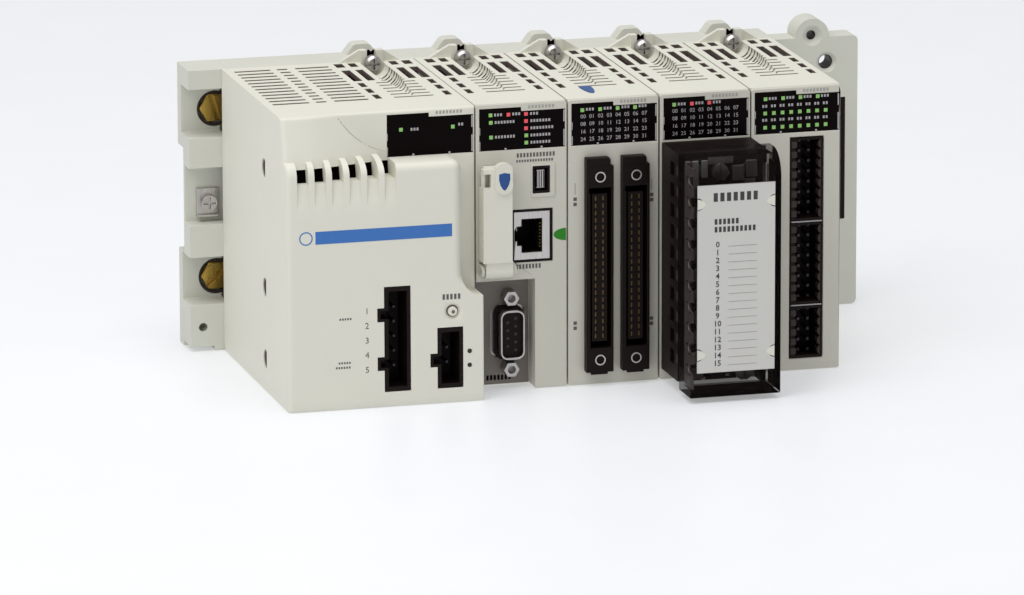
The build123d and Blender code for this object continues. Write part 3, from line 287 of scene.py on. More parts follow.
# Faint print, and also the painted shade of the crease on the supply's shoulder.
FAINT_PRINT_AND_SHADE = matte("faint_print_and_crease_shade", (0.36, 0.35, 0.32), 0.5, 800, 0.05, 0.0)
BLUE = matte("blue_print", (0.045, 0.165, 0.48), 0.45, 300, 0.03, 0.03, specular=0.3)
BLUE_PLASTIC = matte("blue_moulding", (0.020, 0.075, 0.260), 0.4, 300, 0.05, 0.05, specular=0.3)
LEAF_GREEN = matte("green_print", (0.028, 0.22, 0.018), 0.45, 300, 0.03, 0.03, specular=0.2)
# Dark grey moulding, and also painted shade in the mounting holes and round the clamp screws.
DARK_GREY_AND_SHADE = matte("dark_grey_moulding_and_shade", (0.042, 0.031, 0.027), 0.45, 200, 0.1, 0.10, specular=0.2)
# Painted shade: brown-grey for the walls of the cooling openings, the snap openings and the reset button's
# dish and dimple.
SHADE_BROWN = matte("painted_shade_brown", (0.150, 0.115, 0.105), 0.45, 200, 0.06, 0.10, specular=0.2)
RIB_GREY = matte("rib_grey_moulding", (0.40, 0.34, 0.31), 0.45, 200, 0.06, 0.10, specular=0.2)
PALE_GREY = matte("pale_grey_moulding", (0.85, 0.83, 0.81), 0.4, 200, 0.04, 0.05)
ZINC = metal("zinc", (0.56, 0.54, 0.53), 0.3)
PLATE_ZINC = metal("plate_zinc", (0.6, 0.6, 0.6), 0.42, (60, 400, 400))
BRASS = metal("brass", (0.55, 0.36, 0.085), 0.28)
TIN = metal("tin", (0.70, 0.70, 0.70), 0.30)
GOLD = metal("gold", (0.17, 0.115, 0.045), 0.45)
# Painted shade: tin made nearly black for contacts that sit deep in their sockets.
SHADED_TIN = metal("shaded_tin", (0.055, 0.05, 0.048), 0.4)
SCREW_ZINC = metal("screw_zinc", (0.48, 0.46, 0.45), 0.32)
BOARD = matte("solder_mask", (0.02, 0.14, 0.06), 0.3, 400, 0.2, 0.1)
CORE = matte("core", (0.05, 0.045, 0.04), 0.5, 300, 0.2, 0.2)
SLEEVE = matte("sleeve", (0.03, 0.05, 0.14), 0.3, 200, 0.1, 0.0)
ALUMINIUM = metal("aluminium", (0.7, 0.7, 0.7), 0.35)
CARD = matte("card_blue", (0.05, 0.11, 0.32), 0.4, 200, 0.08, 0.05)
LABEL = matte("label_card", (0.60, 0.59, 0.56), 0.6, 150, 0.01, 0.02)
GREEN = glow("green_light", (0.24, 0.50, 0.13), 0.22)
RED = glow("red_light", (0.70, 0.07, 0.09), 0.35)
SMOKED = smoked("smoked_cover", (0.011, 0.008, 0.007), 0.42)

FINISHES = {
    "ivory_plastic": IVORY, "black_plastic": BLACK, "window_black": WINDOW, "zinc_plated_steel": ZINC,
    "brass": BRASS, "circuit_board": BOARD, "green_light": GREEN, "red_light": RED, "tinned_contact": TIN,
    "gold_contact": GOLD, "transformer_core": CORE, "capacitor_sleeve": SLEEVE, "aluminium": ALUMINIUM,
    "card_blue": CARD, "smoked_clear": SMOKED, "label_card": LABEL,
}
OTHER_FINISHES = {
    "processor_front": IVORY_FRONT_SHADED, "digital_front": IVORY_FRONT_SHADED, "input_front": IVORY_FRONT_SHADED,
    "counter_front": IVORY_FRONT_SHADED, "card_door": IVORY_DOOR, "rack_profile": IVORY_RACK,
    "rack_left_end": IVORY_RACK, "rack_right_end": IVORY_RACK, "rack_rear_plate": PLATE_ZINC,
    "fieldbus_plug": ZINC, "network_socket": ZINC, "usb_port": SCREW_ZINC,
    "supply_pins": SHADED_TIN, "counter_contacts": SHADED_TIN, "fieldbus_pins": SHADED_TIN,
    "module_screws": SCREW_ZINC, "jack_screws": SCREW_ZINC,
}


def paint_nodes():
    """Give each CAD node its own finish, or else the finish of its slot."""
    for part in frame["record"]["subparts"]:
        node = nodes[part["node"]]
        node.data.materials.clear()
        node.data.materials.append(OTHER_FINISHES.get(part["node"], FINISHES[part["material_slot"]]))


# Edges of the CAD nodes, in millimetres

EDGE_WIDTHS = {
    0.6: ("rack_profile", "rack_left_end"),
    0.5: ("rack_right_end", "supply_housing", "card_door"),
    0.4: ("processor_housing", "digital_housing", "input_housing", "counter_housing", "terminal_block"),
    0.35: ("processor_front", "digital_front", "input_front", "counter_front"),
    0.3: ("digital_connectors", "terminal_cover", "rack_clamp_screws", "reset_button", "extension_connector",
          "rack_rear_plate"),
    0.25: ("supply_power_socket", "supply_relay_socket", "jack_screws", "terminal_jack_screws"),
    0.2: ("digital_tongues", "counter_sockets", "network_socket", "fieldbus_plug", "module_screws",
          "ground_screw", "ground_clamp"),
    0.15: ("usb_port",),
}


SHARP_ANGLE = radians(38)
FLAT_ANGLE = radians(0.6)
WELD_DISTANCE = 2e-6


def smooth(obj, width):
    """Small rounded edges, as a moulded or machined piece has."""
    bevel = obj.modifiers.new("bevel", "BEVEL")
    bevel.width = width * MM
    bevel.segments = 2
    bevel.limit_method = "ANGLE"
    bevel.angle_limit = SHARP_ANGLE
    bevel.use_clamp_overlap = True
    normals = obj.modifiers.new("normals", "WEIGHTED_NORMAL")
    normals.weight = 100
    normals.keep_sharp = False


def round_edges(obj, width):
    """Join a CAD node's flat facets and round its edges."""
    if "custom_normal" in obj.data.attributes:
        obj.data.attributes.remove(obj.data.attributes["custom_normal"])
    obj.data.polygons.foreach_set("use_smooth", [True] * len(obj.data.polygons))
    weld = obj.modifiers.new("weld", "WELD")
    weld.merge_threshold = WELD_DISTANCE
    flat = obj.modifiers.new("flat", "DECIMATE")
    flat.decimate_type = "DISSOLVE"
    flat.angle_limit = FLAT_ANGLE
    smooth(obj, width)


# Pieces

def circle(x, z, radius, count=24, start=0.0, turn=360.0):
    """Points on a circle or an arc of it."""
    steps = count if turn == 360.0 else count - 1
    angles = [radians(start + turn * i / steps) for i in range(count)]
    return [(x + radius * cos(a), z + radius * sin(a)) for a in angles]


def bulge(x, z, reach, half, step):
    """Half ellipse on an upright side: as far as reach to the side, and half up and down."""
    return [(x + reach * sin(radians(a)), z + half * cos(radians(a))) for a in range(0, 181, step)]


def rectangle(left, right, bottom, top):
    return [(left, bottom), (right, bottom), (right, top), (left, top)]


def rounded(left, right, bottom, top, radius, count=5):
    """Rectangle with round corners."""
    corners = ((right - radius, top - radius, 0), (left + radius, top - radius, 90),
               (left + radius, bottom + radius, 180), (right - radius, bottom + radius, 270))
    return [point for x, z, start in corners for point in circle(x, z, radius, count, start, 90)]


def tube(outer, inner, start, end):
    """Sections of a wall between two outlines, from start to end, as (outline, place)."""
    return (outer, start), (outer, end), (inner, end), (inner, start)


class Piece:
    """A mesh in the making. Points are millimetres: x from `left`, depth from the rack's rear, z up."""

    def __init__(self, left):
        self.left = left
        self.bm = bmesh.new()

    def place(self, x, depth, z):
        """The point in metres, in the frame."""
        return Vector((self.left + x * MM, REAR - depth * MM, z * MM))

    def vert(self, point):
        return self.bm.verts.new(self.place(*point))

    def loft(self, rings, closed=False, capped=True):
        """Skin over rings of (x, depth, z) points, closed on itself or with its ends capped or open."""
        rows = [[self.vert(point) for point in ring] for ring in rings]
        pairs = list(zip(rows, rows[1:]))
        if closed:
            pairs.append((rows[-1], rows[0]))
        for low, high in pairs:
            for i in range(len(low)):
                j = (i + 1) % len(low)
                self.bm.faces.new((low[i], low[j], high[j], high[i]))
        if capped and not closed:
            self.bm.faces.new(rows[0])
            self.bm.faces.new(rows[-1])

    def prism(self, outline, back, front):
        """An (x, z) outline from the back to the front."""
        self.loft([[(x, depth, z) for x, z in outline] for depth in (back, front)])

    def slab(self, left, right, back, front, bottom, top):
        """A rectangular block."""
        self.prism(rectangle(left, right, bottom, top), back, front)

    def frame(self, outer, inner, back, front):
        """A frame between two (x, z) outlines with as many points each."""
        sections = tube(outer, inner, back, front)
        self.loft([[(x, depth, z) for x, z in outline] for outline, depth in sections], closed=True)

    def turned(self, x, z, profile):
        """A small round piece along the depth, from (depth, radius) points."""
        self.loft([[(px, depth, pz) for px, pz in circle(x, z, radius, 16)] for depth, radius in profile])

    def across(self, outline, left, right):
        """A (depth, z) outline from left to right."""
        self.loft([[(x, depth, z) for depth, z in outline] for x in (left, right)])

    def flat(self, outline, bottom, top):
        """An (x, depth) outline from the bottom to the top."""
        self.loft([[(x, depth, z) for x, depth in outline] for z in (bottom, top)])

    def number(self, text, x, depth, z, size, bold=0.0):
        """Raised number that reads from the front, centred on x and z."""
        curve = bpy.data.curves.new("number", "FONT")
        curve.body = text
        curve.size = size * MM
        curve.align_x = "CENTER"
        curve.align_y = "CENTER"
        curve.resolution_u = 2
        curve.extrude = 0.02 * MM
        curve.offset = bold * MM
        letters = bpy.data.objects.new("number", curve)
        mesh = bpy.data.meshes.new_from_object(letters)
        mesh.transform(Matrix.Translation(self.place(x, depth, z)) @ Matrix.Rotation(pi / 2, 4, "X"))
        self.bm.from_mesh(mesh)
        bpy.data.objects.remove(letters)
        bpy.data.curves.remove(curve)
        bpy.data.meshes.remove(mesh)

    def done(self, name, material, body="rack", edge=0.0, replaced=()):
        """Turn the mesh into a piece that rides on a body."""
        bmesh.ops.remove_doubles(self.bm, verts=self.bm.verts, dist=1e-7)
        bmesh.ops.recalc_face_normals(self.bm, faces=self.bm.faces)
        mesh = bpy.data.meshes.new(name)
        self.bm.to_mesh(mesh)
        self.bm.free()
        mesh.materials.append(material)
        obj = bpy.data.objects.new(name, mesh)
        bpy.context.scene.collection.objects.link(obj)
        mesh.polygons.foreach_set("use_smooth", [True] * len(mesh.polygons))
        mesh.set_sharp_from_angle(angle=SHARP_ANGLE)
        if edge:
            smooth(obj, edge)
        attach(obj, body)
        if replaced:
            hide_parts(*replaced)


def word(piece, left, z, letters, depth, height=0.95, pitch=1.05):
    """A row of small plain blocks that stands for a printed word."""
    for i in range(letters):
        x = left + pitch * i
        piece.slab(x, x + 0.62 * pitch, depth - 0.05, depth + 0.04, z - height / 2, z + height / 2)


def inset(outline, distance):
    """A rectilinear (x, z) outline, anticlockwise, moved inwards."""
    moved = []
    for i, (x, z) in enumerate(outline):
        before = outline[i - 1]
        after = outline[(i + 1) % len(outline)]
        normal_x = normal_z = 0
        for (ax, az), (bx, bz) in ((before, (x, z)), ((x, z), after)):
            length = sqrt((bx - ax) ** 2 + (bz - az) ** 2)
            normal_x -= (bz - az) / length
            normal_z += (bx - ax) / length
        moved.append((x + normal_x * distance, z + normal_z * distance))
    return moved


def lines(start, end, step, cuts=()):
    """Rising places from start to end that hold every cut between and leave no gap over step."""
    fixed = sorted({start, end, *(c for c in cuts if start < c < end)})
    places = [start]
    for low, high in zip(fixed, fixed[1:]):
        parts = max(1, round((high - low) / step + 0.49))
        places += [low + (high - low) * (i + 1) / parts for i in range(parts)]
    return places


# Power supply front. Heights and x are millimetres from the supply's lower left corner.

SUPPLY_WIDTH = (SUPPLY_RIGHT - SUPPLY_LEFT) / MM
HEIGHT = 100.0
FACE_SLOPE = 0.0115
VENT_FIRST = 3.5
VENT_PITCH = 6.1
VENT_WIDTH = 4.0
VENTS = 6
VENT_BOTTOM = 78.6
VENT_TOP = 83.1
GROOVE_BOTTOM = 70.5
GROOVE_DEPTH = 1.3
RIB_START = 80.5
RIB_TOP = 85.6
STEP_TOP = 84.0
STEP_RIGHT = 61.0
STEP_RADIUS = 3.0
FOOT_BOTTOM = 36.5
FOOT_RADIUS = 7.4
FOOT_END = 67.4
RIM_RADII = {"left": 1.4, "right": 0.5, "bottom": 0.7, "top": 0.8}
COVE_LEFT = 11.0
COVE_FALL = 0.29
COVE_BLEND = 4.0
COVE_DEPTH = 105.8
COVE_SLOPE = 0.286
COVE_FOOT = 85.9
LAST_VENT_END = VENT_FIRST + VENT_PITCH * (VENTS - 1) + VENT_WIDTH
WINDOW_LEFT = 37.6
WINDOW_RIGHT = 67.9
TAB_LEFT = 52.4
TAB_BOTTOM = 97.3
WINDOW_TOP = 98.7
RESET_X = 57.5
RESET_Z = 31.7
RESET_HALF = 3.6
POWER_SOCKET = (33.4, 42.7, 5.1, 41.7)
RELAY_SOCKET = (52.0, 61.1, 5.1, 26.3)
KEYWAYS = ((31.0, 33.4, 12.6, 17.4), (31.0, 33.4, 29.6, 34.4), (49.5, 52.0, 12.6, 17.4))
RESET_DISH = ((3.0, 0.0), (2.8, 0.12), (2.35, 0.9), (1.8, 1.05), (1.72, 1.2), (1.72, 3.5))
STEP_FIXED_END = 57.0
STEP_SHARES = (0.25, 0.45, 0.625, 0.775, 0.8875, 0.9625, 1.0)


def face_depth(z):
    """Raised face, which leans forward a little towards its foot."""
    return SUPPLY_FRONT - FACE_SLOPE * z


def cove_depth(x, z):
    """Shoulder above the vents, which falls away towards the window."""
    across = x - COVE_LEFT
    fall = COVE_FALL * (across + sqrt(across ** 2 + COVE_BLEND ** 2)) / 2
    return max(FRONT, COVE_DEPTH - COVE_SLOPE * (z - COVE_FOOT) - fall)


def rib_depth(x, z):
    """Raised face with a rounded top that runs into the shoulder."""
    if z <= RIB_START:
        return face_depth(z)
    if z >= RIB_TOP:
        return cove_depth(x, z)
    foot = cove_depth(x, RIB_TOP)
    up = (z - RIB_START) / (RIB_TOP - RIB_START)
    return foot + (face_depth(RIB_START) - foot) * sqrt(1 - up * up)


def vent_depth(x, z):
    """Groove below a vent, and the shoulder above it."""
    if z <= GROOVE_BOTTOM:
        return face_depth(z)
    if z <= VENT_BOTTOM:
        return face_depth(z) - GROOVE_DEPTH * (z - GROOVE_BOTTOM) / (VENT_BOTTOM - GROOVE_BOTTOM)
    return cove_depth(x, z)


def step_edge(z):
    """Right edge of the raised face at that height."""
    if z <= FOOT_BOTTOM:
        return FOOT_END
    if z < FOOT_BOTTOM + FOOT_RADIUS:
        above = FOOT_BOTTOM + FOOT_RADIUS - z
        return min(FOOT_END, SUPPLY_WIDTH - sqrt(max(0.0, FOOT_RADIUS ** 2 - above ** 2)))
    over = min(STEP_RADIUS, max(0.0, z - (STEP_TOP - STEP_RADIUS)))
    return STEP_RIGHT - STEP_RADIUS + sqrt(STEP_RADIUS ** 2 - over ** 2)


def step_depth(x, z):
    """Raised face with its rounded top and right edges."""
    over = max(0.0, z - (STEP_TOP - STEP_RADIUS))
    across = 0.0
    if z > FOOT_BOTTOM:
        scale = min(1.0, (z - FOOT_BOTTOM) / FOOT_RADIUS)
        edge = STEP_RIGHT if over else step_edge(z)
        across = max(0.0, x - (edge - STEP_RADIUS * scale)) if scale else 0.0
    reach = min(STEP_RADIUS, sqrt(over * over + across * across))
    return face_depth(z) - STEP_RADIUS + sqrt(STEP_RADIUS ** 2 - reach ** 2)


def rim(x, z):
    """How far the surface turns back near the outline."""
    back = 0.0
    distances = {"left": x, "right": SUPPLY_WIDTH - x, "bottom": z, "top": HEIGHT - z}
    for side, distance in distances.items():
        radius = RIM_RADII[side]
        if distance < radius:
            back += radius - sqrt(max(0.0, radius ** 2 - (radius - distance) ** 2))
    return back


def supply_columns():
    """(kind, x or function of z) from left to right, with a column at every edge of an opening."""
    cuts = (0.1, 0.4, 0.8, RIM_RADII["left"], KEYWAYS[0][0], POWER_SOCKET[0], WINDOW_LEFT)
    columns = [("rib", x) for x in lines(0.0, VENT_FIRST, 1.4, cuts)]
    for vent in range(VENTS):
        left = VENT_FIRST + VENT_PITCH * vent
        right = left + VENT_WIDTH
        columns += [("vent", x) for x in lines(left, right, 1.2, cuts)]
        if vent < VENTS - 1:
            columns += [("rib", x) for x in lines(right, left + VENT_PITCH, 1.4, cuts)]
    cuts = (POWER_SOCKET[1], KEYWAYS[2][0], RELAY_SOCKET[0], TAB_LEFT, RESET_X - RESET_HALF)
    columns += [("step", x) for x in lines(LAST_VENT_END, STEP_FIXED_END, 2.5, cuts)]
    relay_share = (RELAY_SOCKET[1] - STEP_FIXED_END) / (FOOT_END - STEP_FIXED_END)
    for share in sorted((relay_share, *STEP_SHARES)):
        columns.append(("step", lambda z, s=share: STEP_FIXED_END + (step_edge(z) - STEP_FIXED_END) * s))
    for share in (0.0, 0.5, 1.0):
        columns.append(("beyond", lambda z, s=share: step_edge(z) + (WINDOW_RIGHT - step_edge(z)) * s))
    columns += [("beyond", x) for x in (68.15, 68.3, SUPPLY_WIDTH)]
    return columns


def supply_rows():
    """(band, z) from the bottom up: 0 full width, 1 with the strip at the right, 2 above the raised face."""
    low_cuts = (0.08, 0.25, 0.7, 5.1, 12.6, 17.4, 26.3, 28.1, 29.6, 34.4, 35.3)
    middle_cuts = (POWER_SOCKET[3], GROOVE_BOTTOM, VENT_BOTTOM, RIB_START, VENT_TOP, 83.6)
    top_cuts = (TAB_BOTTOM, WINDOW_TOP, 99.2, 99.5, 99.8, 99.92)
    rows = [(0, z) for z in lines(0.0, FOOT_BOTTOM, 3.0, low_cuts)]
    rows += [(1, z) for z in lines(FOOT_BOTTOM, FOOT_BOTTOM + FOOT_RADIUS, 0.8, middle_cuts)]
    rows += [(1, z) for z in lines(FOOT_BOTTOM + FOOT_RADIUS, GROOVE_BOTTOM, 5.0)[1:]]
    rows += [(1, z) for z in lines(GROOVE_BOTTOM, RIB_START, 1.6, middle_cuts)[1:]]
    rows += [(1, z) for z in lines(RIB_START, STEP_TOP, 0.5, middle_cuts)[1:]]
    rows += [(2, z) for z in lines(STEP_TOP, RIB_TOP, 0.35)]
    rows += [(2, z) for z in lines(RIB_TOP, HEIGHT, 1.2, top_cuts)[1:]]
    return rows


def supply_depth(kind, band, x, z):
    if kind == "rib":
        depth = rib_depth(x, z)
    elif kind == "vent":
        depth = vent_depth(x, z)
    elif band == 2 or (band == 1 and kind == "beyond"):
        depth = FRONT
    elif kind == "beyond":
        depth = face_depth(z)
    else:
        depth = step_depth(x, z)
    return depth - rim(x, z)


def hole_back(x, z):
    """How deep the wall of the opening at that place runs, or None where there is no opening."""
    for left, right, bottom, top in (POWER_SOCKET, RELAY_SOCKET, *KEYWAYS):
        if left < x < right and bottom < z < top:
            return SUPPLY_FRONT - 6.0
    if abs(x - RESET_X) < RESET_HALF and abs(z - RESET_Z) < RESET_HALF:
        return face_depth(z)
    if VENT_BOTTOM < z < VENT_TOP:
        across = (x - VENT_FIRST) / VENT_PITCH
        if 0 <= across < VENTS and (across % 1) * VENT_PITCH < VENT_WIDTH:
            return FRONT - 1.0
    if WINDOW_LEFT < x < WINDOW_RIGHT and STEP_TOP < z < WINDOW_TOP:
        if z < TAB_BOTTOM or x < TAB_LEFT:
            return BEZEL_BACK
    return None


def add_reset_dish(piece):
    """Dish round the reset button, which fills the square left open for it."""
    count = 32
    square = []
    for x, z in circle(0, 0, 1.0, count):
        reach = RESET_HALF / max(abs(x), abs(z))
        square.append((RESET_X + x * reach, RESET_Z + z * reach))
    rings = [[(x, face_depth(z), z) for x, z in square]]
    for radius, drop in RESET_DISH:
        rings.append([(x, face_depth(z) - drop, z) for x, z in circle(RESET_X, RESET_Z, radius, count)])
    piece.loft(rings, capped=False)


def make_supply_front():
    """Front of the power supply as one skin, with walls at every opening and round its outline."""
    piece = Piece(SUPPLY_LEFT)
    columns = supply_columns()
    rows = supply_rows()
    points = []
    for kind, place in columns:
        column = []
        for band, z in rows:
            x = place(z) if callable(place) else place
            column.append((x, supply_depth(kind, band, x, z), z))
        points.append(column)
    verts = [[piece.vert(point) for point in column] for column in points]

    def opening(i, j):
        """Depth that the wall of cell i, j runs to, or None where the cell is solid."""
        if not (0 <= i < len(columns) - 1 and 0 <= j < len(rows) - 1):
            return BEZEL_BACK
        corners = [points[a][b] for a in (i, i + 1) for b in (j, j + 1)]
        return hole_back(sum(c[0] for c in corners) / 4, sum(c[2] for c in corners) / 4)

    for i in range(len(columns) - 1):
        for j in range(len(rows) - 1):
            if opening(i, j) is not None:
                continue
            piece.bm.faces.new((verts[i][j], verts[i + 1][j], verts[i + 1][j + 1], verts[i][j + 1]))
            sides = (((i, j), (i + 1, j), (i, j - 1)), ((i + 1, j), (i + 1, j + 1), (i + 1, j)),
                     ((i + 1, j + 1), (i, j + 1), (i, j + 1)), ((i, j + 1), (i, j), (i - 1, j)))
            for (a, b), (c, d), (side_i, side_j) in sides:
                back = opening(side_i, side_j)
                if back is None:
                    continue
                near, far = points[a][b], points[c][d]
                wall = [piece.vert((x, min(back, depth), z)) for x, depth, z in (far, near)]
                piece.bm.faces.new((verts[c][d], verts[a][b], wall[1], wall[0]))
    add_reset_dish(piece)
    bmesh.ops.remove_doubles(piece.bm, verts=piece.bm.verts, dist=1e-6)
    bmesh.ops.dissolve_degenerate(piece.bm, edges=piece.bm.edges, dist=1e-7)
    piece.done("supply_front", IVORY, replaced=("supply_front_cover",))


# Power supply details

SNAP_DEPTH = 79.3
SNAP_HEIGHTS = (11.2, 36.4, 78.1)
SNAP_REACH = 4.7
SNAP_HALF_HEIGHT = 2.9
VENT_SHADE_MARGIN = 0.03
CREASE_POINTS = ((20.6, 98.6), (27.0, 88.6), (37.2, 86.2))
CREASE_HALF = 0.16
STRIPE = (9.7, 57.4, 57.9, 62.3)
STRIPE_RING = (6.4, 60.1)
DOT_X = 63.3
DOT_PROFILE = ((110.0, 0.8), (111.0, 0.8), (111.02, 0.6))
PIN_NUMBER_X = 27.4
PIN_NUMBER_TOP = 33.6
PIN_NUMBER_PITCH = 5.1


def half_round(height, margin):
    """(depth, z) outline of a snap opening: flat in front, round behind, moved inwards."""
    radius = (SNAP_HALF_HEIGHT ** 2 + SNAP_REACH ** 2) / (2 * SNAP_REACH)
    centre = SNAP_DEPTH - SNAP_REACH + radius
    flat = SNAP_DEPTH - margin
    half = sqrt((radius - margin) ** 2 - (flat - centre) ** 2)
    start = degrees(atan2(half, flat - centre))
    turn = 360 - 2 * start
    angles = [radians(start + turn * i / 20) for i in range(21)]
    return [(centre + (radius - margin) * cos(a), height + (radius - margin) * sin(a)) for a in angles]


def crease_point(share):
    """Place on the faint curved crease that runs down the shoulder to the window's corner."""
    weights = ((1 - share) ** 2, 2 * (1 - share) * share, share ** 2)
    return tuple(sum(w * point[axis] for w, point in zip(weights, CREASE_POINTS)) for axis in (0, 1))


def make_supply_details():
    """Painted shade behind the vents and in the snap openings of the left side, a raised line of painted
    shade along the crease, printing, and painted shade in the ring and dimple of the reset button.
    """
    # Painted shade: black sheets behind the vents, so that the openings read dark.
    vent_shade = Piece(SUPPLY_LEFT)
    for vent in range(VENTS):
        left = VENT_FIRST + VENT_PITCH * vent
        outline = rectangle(left + VENT_SHADE_MARGIN, left + VENT_WIDTH - VENT_SHADE_MARGIN,
                            VENT_BOTTOM + VENT_SHADE_MARGIN, VENT_TOP - VENT_SHADE_MARGIN)
        middle = left + VENT_WIDTH / 2
        vent_shade.loft([[(x, vent_depth(middle, z) - drop, z) for x, z in outline] for drop in (1.8, 0.9)])
    vent_shade.done("supply_vent_shade", PAINTED_SHADE_BLACK)

    # Painted shade: brown-grey rings inside the snap openings.
    snap_shade = Piece(SUPPLY_LEFT)
    for height in SNAP_HEIGHTS:
        sections = tube(half_round(height, 0.05), half_round(height, 0.75), 0.9, 0.35)
        snap_shade.loft([[(x, depth, z) for depth, z in outline] for outline, x in sections], closed=True)
    snap_shade.done("snap_opening_shade", SHADE_BROWN)

    # Painted shade: a thin raised line in faint grey along the crease of the shoulder.
    crease = Piece(SUPPLY_LEFT)
    path = [crease_point(i / 24) for i in range(25)]
    crease.loft([[(x + dx, cove_depth(x + dx, z) + stand, z) for dx, stand in
                  rectangle(-CREASE_HALF, CREASE_HALF, -0.1, 0.045)] for x, z in path])
    crease.done("supply_crease", FAINT_PRINT_AND_SHADE)

    stripe = Piece(SUPPLY_LEFT)
    stripe.loft([[(x, face_depth(z) + stand, z) for x, z in rectangle(*STRIPE)] for stand in (-0.1, 0.05)])
    sections = tube(circle(*STRIPE_RING, 2.35), circle(*STRIPE_RING, 1.95), -0.1, 0.05)
    stripe.loft([[(x, face_depth(z) + stand, z) for x, z in outline] for outline, stand in sections],
                closed=True)
    stripe.done("supply_stripe", BLUE)

    dots = Piece(SUPPLY_LEFT)
    for z in (12.7, 17.6):
        dots.turned(DOT_X, z, DOT_PROFILE)
    dots.done("supply_dots", DARK_GREY_AND_SHADE)

    marks = Piece(SUPPLY_LEFT)
    for i in range(5):
        z = PIN_NUMBER_TOP - PIN_NUMBER_PITCH * i
        marks.number(str(i + 1), PIN_NUMBER_X, face_depth(z) + 0.02, z, 3.0)
    for z, left, letters in ((31.4, 17.8, 5), (16.2, 17.4, 5), (14.6, 16.4, 6)):
        word(marks, left, z, letters, face_depth(z), 0.7, 0.9)
    word(marks, 53.9, 36.9, 5, face_depth(37), 1.9, 1.35)
    marks.done("supply_marks", DARK_PRINT)

    # Painted shade: a brown-grey ring down in the dish round the reset button.
    ring = Piece(SUPPLY_LEFT)
    depths = (face_depth(RESET_Z) - 1.25, face_depth(RESET_Z) - 0.95)
    ring.frame(circle(RESET_X, RESET_Z, 2.2), circle(RESET_X, RESET_Z, 1.74), *depths)
    ring.done("reset_ring", SHADE_BROWN, edge=0.08)

    # Painted shade: a small brown-grey disc on the button's tip for its dimple.
    dimple = Piece(SUPPLY_LEFT)
    tip = (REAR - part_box("reset_button")[0].y) / MM
    dimple.prism(circle(RESET_X + 0.1, RESET_Z - 0.1, 0.62, 16), tip - 0.1, tip + 0.04)
    dimple.done("reset_dimple", SHADE_BROWN, body="reset_button")


# Windows

NUMBER_ROWS = (94.0, 91.4, 88.75, 86.1)
NUMBER_LEFT = 5.3
NUMBER_PITCH = 3.1

# (x, z, letters) of each printed word
WINDOW_WORDS = {
    "supply": [(9.6, 93.2, 3), (26.3, 94.0, 2)],
    "processor": [(6.5, 96.4, 3), (12.9, 96.4, 3), (19.2, 96.2, 3), (6.7, 93.8, 7), (19.3, 93.7, 7),
                  (19.3, 91.2, 8), (6.8, 88.7, 7), (19.3, 88.7, 7), (19.3, 86.2, 7)],
    "digital": [(6.3, 96.5, 3), (12.6, 96.5, 3), (18.9, 96.6, 3), (25.0, 96.6, 3)],
    "input": [(6.3, 96.4, 3), (12.6, 96.4, 3), (18.8, 96.4, 3)],
    "counter": [(x, 96.4, 3) for x in (6.2, 12.5, 18.7, 24.9)]
    + [(3.9 + NUMBER_PITCH * column, z, 2) for z in (88.9, 93.8) for column in range(8)],
}


def make_window_marks(left, name, words, numbers=False):
    """Light words and numbers on a window, its clips, and a faint word above it."""
    marks = Piece(left)
    for x, z, letters in words:
        word(marks, x, z, letters, WINDOW_FACE)
    if numbers:
        for row, z in enumerate(NUMBER_ROWS):
            for column in range(8):
                x = NUMBER_LEFT + NUMBER_PITCH * column
                marks.number(f"{8 * row + column:02d}", x, WINDOW_FACE + 0.02, z, 1.95)
    marks.done(f"{name}_marks", PRINT)

    clips = Piece(left)
    for x in (10.5, 23.2):
        clips.slab(x - 0.35, x + 0.35, WINDOW_FACE - 0.4, WINDOW_FACE + 0.22, 84.05, 84.75)
    for side, right, bottom, top in ((1.25, 1.6, 84.3, 87.4), (1.25, 1.55, 89.6, 92.2),
                                     (30.9, 31.4, 84.4, 90.2), (30.9, 31.4, 92.8, 96.9)):
        clips.slab(side, right, WINDOW_FACE - 0.4, WINDOW_FACE + 0.15, bottom, top)
    clips.done(f"{name}_clips", PRINT, edge=0.08)

    tab_marks = Piece(left)
    word(tab_marks, 18.4, 98.6, 8, FRONT, 1.1, 1.2)
    tab_marks.done(f"{name}_tab_marks", FAINT_PRINT_AND_SHADE)


# Module tops. Painted shade on the walls of the openings: a dark sheet hangs from WALL_SHADE_TOP to
# WALL_SHADE_FOOT below the edge of its opening. It is made for edges from SHADED_DROP below the top to
# SHADED_RISE above it, and off the top only where a wall faces it within SLOT_REACH.

SCREW_FROM_LEFT = 16.3
SIDE_MARGIN = 1.5
FRONT_MARGIN = 1.0
WALL_SHADE_TOP = 0.15
WALL_SHADE_FOOT = 1.75
SHADED_DROP = 6.0
SHADED_RISE = 2.0
SLOT_REACH = 3.5
LEVEL = 0.01
# Painted shade sheet under the cooling openings:
SHADE_SIDE = 2.0
SHADE_SECTION = (19.0, 84.0, 97.1, 97.4)
COMB_HALF = 5.5


